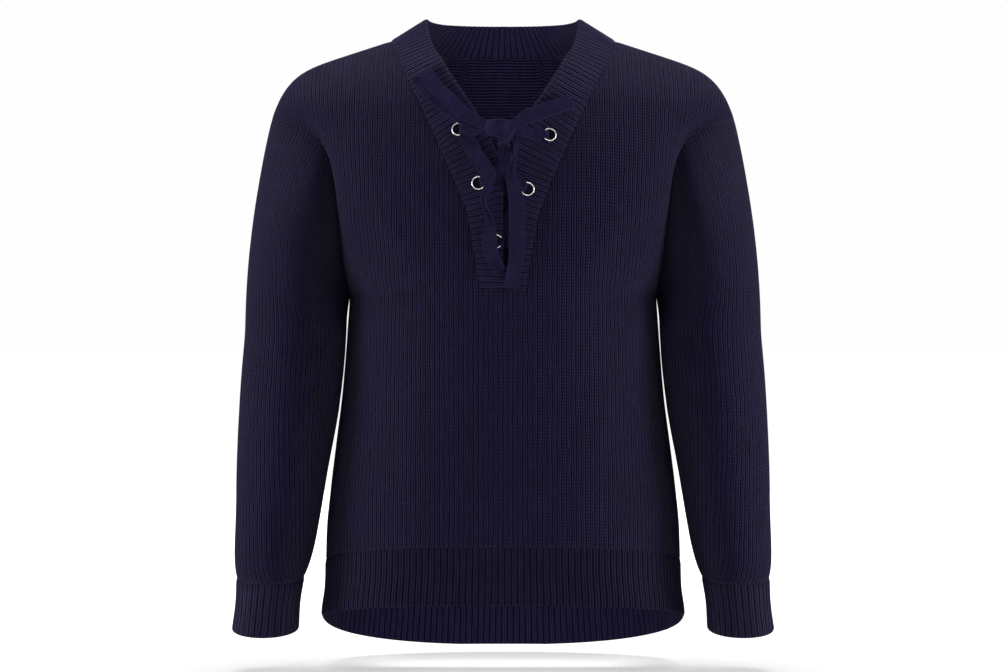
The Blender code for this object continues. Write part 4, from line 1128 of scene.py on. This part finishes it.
def form_at(x, z):
    """The cloth's outer point and normal at a place in the front view, in metres."""
    far = (FORM_SPOTS[:, 0] - x) ** 2 + (FORM_SPOTS[:, 2] - z) ** 2
    near = np.argsort(far)[:14]
    weight = 1.0 / (far[near] + 4e-6) ** 1.5
    weight = weight / weight.sum()
    spots = FORM_SPOTS[near]
    plan = np.stack([np.ones(len(near)), spots[:, 0] - x, spots[:, 2] - z], axis=1)
    scaled = plan * weight[:, None] ** 0.5
    fit = np.linalg.lstsq(scaled, spots[:, 1] * weight**0.5, rcond=1e-3)[0]
    way = (FORM_WAYS[near] * weight[:, None]).sum(axis=0)
    return np.array([x, fit[0], z]), way / np.linalg.norm(way)


quads = quads_facing(band, band_normal, 5)
flat_outer = outer.reshape(-1, 3)
flat_inner = inner.reshape(-1, 3)
eyelet_frames = {}
for spot in EYELETS:
    centre, way = form_at(spot.x * MM, spot.z * MM)
    eyelet_frames[spot.name] = (centre, way)
    middles = flat_outer[quads].mean(axis=1) - centre
    radial = middles - (middles @ way)[:, None] * way
    quads = quads[np.linalg.norm(radial, axis=1) > EYELET_CUT]
    for side in (flat_outer, flat_inner):
        offset = side - centre
        height = offset @ way
        radial = offset - height[:, None] * way
        radius = np.linalg.norm(radial, axis=1)
        inside = (radius < EYELET_CUT * 1.001) & (radius > 1e-6) & (np.abs(height) < 0.01)
        side[inside] += radial[inside] * (EYELET_CUT / radius[inside] - 1.0)[:, None]
band_cloth = shell("neckband_rib", outer, inner, places, quads, [BAND, BAND_INSIDE])
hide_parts("neckband")

# Eyelets: a rolled ring on the face, its barrel, and a flatter washer behind
EYELET_TURN = np.array([
    (EYELET_HOLE, -WALL - 0.0008),
    (EYELET_HOLE, 0.0006),
    (EYELET_HOLE + 0.0001, 0.0016),
    (EYELET_HOLE + 0.0005, 0.0021),
    (0.5 * (EYELET_HOLE + EYELET_OUTER), 0.0022),
    (EYELET_OUTER - 0.0004, 0.0019),
    (EYELET_OUTER, 0.0013),
    (EYELET_OUTER - 0.0001, 0.0007),
    (EYELET_CUT - 0.0002, 0.0007),
    (EYELET_CUT - 0.0002, -WALL - 0.0004),
    (EYELET_OUTER, -WALL - 0.0006),
    (EYELET_OUTER, -WALL - 0.0010),
    (EYELET_OUTER - 0.0006, -WALL - 0.0013),
    (EYELET_HOLE + 0.0002, -WALL - 0.0012),
])
turns = np.linspace(0.0, 2 * math.pi, 56, endpoint=False)
index = np.arange(len(turns) * len(EYELET_TURN)).reshape(len(turns), -1)
ahead = np.roll(index, -1, axis=0)
faces = np.stack([index, np.roll(index, -1, axis=1), np.roll(ahead, -1, axis=1), ahead], axis=2).reshape(-1, 4)
for spot in EYELETS:
    centre, way = eyelet_frames[spot.name]
    across = unit(np.cross(way, (0.0, 0.0, 1.0)))
    rise = np.cross(across, way)
    spokes = np.cos(turns)[:, None] * across + np.sin(turns)[:, None] * rise
    points = centre + EYELET_TURN[:, :1] * spokes[:, None] + EYELET_TURN[:, 1:] * way
    points = points.reshape(-1, 3)
    obj = add_mesh(spot.name + "_ring", points, faces, points[faces][:, :, [0, 2]], [METAL])
    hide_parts(spot.name)


# Lace
def lace_point(x, z, out):
    """A point before the band: square to the band close to it, straight forward further off."""
    spot, way = form_at(x * MM, z * MM)
    if out < NEAR_BAND:
        return spot + out * MM * way
    return spot + np.array([0.0, -out * MM / abs(way[1]), 0.0])


def through(eyelet, toward, side, leaving):
    """Stations where a length leaves or reaches an eyelet."""
    x, z = EYELET_AT[eyelet]
    run = math.atan2(toward[1] - z, toward[0] - x)
    reach = math.hypot(toward[1] - z, toward[0] - x)
    stations = []
    for away, out, half in THROUGH_FRONT if side > 0 else THROUGH_BACK:
        if away < 0.6 * reach:
            heading = math.degrees(run) + (0 if leaving else 180)
            stations.append(Lay(x + away * math.cos(run), z + away * math.sin(run), out, heading, half))
    return stations if leaving else stations[::-1]


def stations_of(length):
    stations = list(length.stations)
    first = (stations[0].x, stations[0].z) if stations else EYELET_AT[length.end]
    last = (stations[-1].x, stations[-1].z) if stations else EYELET_AT[length.start]
    if length.start:
        stations = through(length.start, first, length.start_side, True) + stations
    if length.end:
        stations = stations + through(length.end, last, length.end_side, False)
    return stations


def reversed_run(stations):
    return [Lay(s.x, s.z, s.out, s.heading + 180, s.half, -s.roll) for s in stations[::-1]]


LACE_ACROSS = np.array([-1.0, -0.94, -0.86, -0.6, -0.3, 0.0, 0.3, 0.6, 0.86, 0.94, 1.0])


def ribbon(name, stations, crown=0.0, step=0.0011):
    """A ribbon through the stations; narrow places are gathered lengthways."""
    near = []
    far = []
    for s in stations:
        left_x = -math.sin(math.radians(s.heading)) * s.half
        left_z = math.cos(math.radians(s.heading)) * s.half
        near.append(lace_point(s.x + left_x, s.z + left_z, s.out + s.roll / 2))
        far.append(lace_point(s.x - left_x, s.z - left_z, s.out - s.roll / 2))
    near = np.array(near)
    far = np.array(far)
    middle = (near + far) / 2
    knots = lengths_along(middle)
    places_along = subdivided(knots, step)
    near = spline(knots, near, places_along)
    far = spline(knots, far, places_along)
    middle = (near + far) / 2
    ahead = np.gradient(middle, axis=0)
    face = unit(np.cross(ahead, near - far))
    half = np.linalg.norm(near - far, axis=1) / 2
    slack = np.clip((LACE_FLAT_HALF - half) / LACE_FLAT_HALF, 0.0, 1.0)
    along = lengths_along(middle)
    grid = []
    for s in LACE_ACROSS:
        raised = 0.0011 * slack * math.cos(1.5 * math.pi * s) + 0.00040 * np.sin(along / 0.0075 + 2.2 * s)
        if crown:
            crease = KNOT_CREASE * bell(along / along[-1] - 0.45 - 0.22 * s, 0.09)
            raised = raised + crown * (1.0 - s * s) - crown * 0.6 * s**6 - crease
        grid.append(middle + (near - far) / 2 * s + raised[:, None] * face)
    grid = np.array(grid)
    if np.mean(face[:, 1]) > 0:
        face = -face
    normal = surface_normals(grid)
    if np.mean((normal * face).sum(axis=2)) < 0:
        normal = -normal
    places = knit_uv(LACE_ACROSS[:, None] * LACE_WIDTH / 2, along)
    selvedge = np.where(np.abs(LACE_ACROSS) > 0.85, SELVEDGE, 0.0)[:, None, None]
    half_wall = (LACE_THICK / 2 + selvedge) * normal
    quads = quads_facing(grid, normal, 1, 10)
    obj = shell(name, grid + half_wall, grid - half_wall, places, quads, [RIBBON, RIBBON])
    return obj, middle


bar = stations_of(BAR)
half_bar = len(bar) // 2
left_run = bar[half_bar:] + stations_of(LOW_LEFT) + stations_of(CROSS_RIGHT) + stations_of(LEAD_LEFT)
left_run += BOW_RIGHT + TAIL_LEFT
right_run = reversed_run(bar[:half_bar]) + stations_of(LOW_RIGHT) + stations_of(CROSS_LEFT)
right_run += stations_of(LEAD_RIGHT) + BOW_LEFT + TAIL_RIGHT
lace_left, left_path = ribbon("lace_left_half", left_run)
lace_right, right_path = ribbon("lace_right_half", right_run)
knot, _ = ribbon("lace_knot_wrap", KNOT, crown=0.0009, step=0.0008)
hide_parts("lace_low_left", "lace_cross_right", "lace_lead_left")
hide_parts("bow_right_back", "bow_right_front", "tail_left")
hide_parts("lace_bar", "lace_low_right", "lace_cross_left", "lace_lead_right")
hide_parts("bow_left_back", "bow_left_front", "tail_right")
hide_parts("lace_knot")

# The cut of a piece of cloth: its name, its width, all round on a tube, its length, and its area where it
# isn't a rectangle
Cut = namedtuple("Cut", "name width length area")

# Studio: a pale floor that the lights fall off on, with a painted glow seen by the camera only, weaker near
# the garment, and soft boxes mostly from the sides
floor_mesh = bpy.data.meshes.new("studio_floor")
FLOOR_Z = -0.648
floor_mesh.from_pydata(
    [(-30, -30, FLOOR_Z), (30, -30, FLOOR_Z), (30, 60, FLOOR_Z), (-30, 60, FLOOR_Z)], [], [(0, 1, 2, 3)]
)
floor = bpy.data.objects.new("studio_floor", floor_mesh)
bpy.context.scene.collection.objects.link(floor)
paper = Nodes("studio_paper")
away = paper.add("ShaderNodeVectorMath", operation="LENGTH")
paper.put(paper.add("ShaderNodeTexCoord").outputs["Object"], away.inputs[0])
# Painted light: the floor glows for camera rays only, weaker near the garment and full farther off
painted_floor_glow = paper.add("ShaderNodeMapRange", interpolation_type="SMOOTHSTEP")
paper.put(away.outputs["Value"], painted_floor_glow.inputs["Value"])
for limit, value in (("From Min", 0.70), ("From Max", 1.10), ("To Min", 0.42), ("To Max", 1.0)):
    painted_floor_glow.inputs[limit].default_value = value
ray = paper.add("ShaderNodeLightPath")
paper.surface({
    "Base Color": (0.86, 0.86, 0.86, 1.0),
    "Roughness": 0.9,
    "Specular IOR Level": 0.0,
    "Emission Color": (1.0, 1.0, 1.0, 1.0),
    "Emission Strength": paper.times(painted_floor_glow.outputs["Result"], ray.outputs["Is Camera Ray"]),
})
floor_mesh.materials.append(paper.material)

world = bpy.data.worlds.new("studio")
bpy.context.scene.world = world
world.use_nodes = True
tree = world.node_tree
tree.nodes.clear()
ray = tree.nodes.new("ShaderNodeLightPath")


def sky(color, strength):
    node = tree.nodes.new("ShaderNodeBackground")
    node.inputs[0].default_value = (*color, 1.0)
    node.inputs[1].default_value = strength
    return node.outputs[0]


def by_ray(kind, others, chosen):
    """One sky for rays of a kind, another for the rest."""
    node = tree.nodes.new("ShaderNodeMixShader")
    for source, socket in zip((ray.outputs[kind], others, chosen), node.inputs):
        tree.links.new(source, socket)
    return node.outputs[0]


lit = by_ray("Is Glossy Ray", sky((0.97, 0.98, 1.0), 0.02), sky((1.0, 1.0, 1.0), 0.75))
seen = by_ray("Is Camera Ray", lit, sky((0.992, 0.992, 0.992), 1.0))
tree.links.new(seen, tree.nodes.new("ShaderNodeOutputWorld").inputs[0])


def softbox(name, place, aim, width, height, power):
    light = bpy.data.lights.new(name, "AREA")
    light.shape = "RECTANGLE"
    light.size = width
    light.size_y = height
    light.energy = power
    obj = bpy.data.objects.new(name, light)
    obj.location = place
    obj.rotation_mode = "QUATERNION"
    obj.rotation_quaternion = (Vector(aim) - Vector(place)).to_track_quat("-Z", "Y")
    bpy.context.scene.collection.objects.link(obj)
    return obj


softbox("side_box_left", (-2.15, -0.55, -0.20), (0.0, 0.0, -0.30), 0.7, 1.7, 41.0)
softbox("side_box_right", (2.15, -0.55, -0.20), (0.0, 0.0, -0.30), 0.7, 1.7, 41.0)
softbox("front_box", (0.0, -3.2, -0.10), (0.0, 0.0, -0.30), 0.8, 0.8, 11.5)
softbox("top_box", (0.0, 0.25, 1.80), (0.0, 0.0, -0.10), 2.0, 1.0, 38.0)
softbox("back_box", (0.0, 3.00, 0.10), (0.0, 0.0, -0.30), 1.6, 1.2, 16.0)
# Small lamps inside the neck and under the hem
for lamp in (
    softbox("neck_lamp", (0.0, -0.035, -0.045), (0.0, 0.08, -0.01), 0.10, 0.05, 0.14),
    softbox("hem_lamp", (0.0, -0.020, -0.600), (0.0, 0.11, -0.612), 0.26, 0.02, 0.13),
):
    lamp.visible_camera = False
    lamp.visible_glossy = False

camera_data = bpy.data.cameras.new("photo_camera")
camera_data.lens = 92.27
camera_data.sensor_width = 36.0
camera_data.clip_end = 200.0
camera = bpy.data.objects.new("photo_camera", camera_data)
camera.location = (0.001, -2.7, -0.304)
camera.rotation_euler = (math.radians(90.0), 0.0, 0.0)
bpy.context.scene.collection.objects.link(camera)
bpy.context.scene.camera = camera
bpy.context.scene.view_settings.view_transform = "Standard"
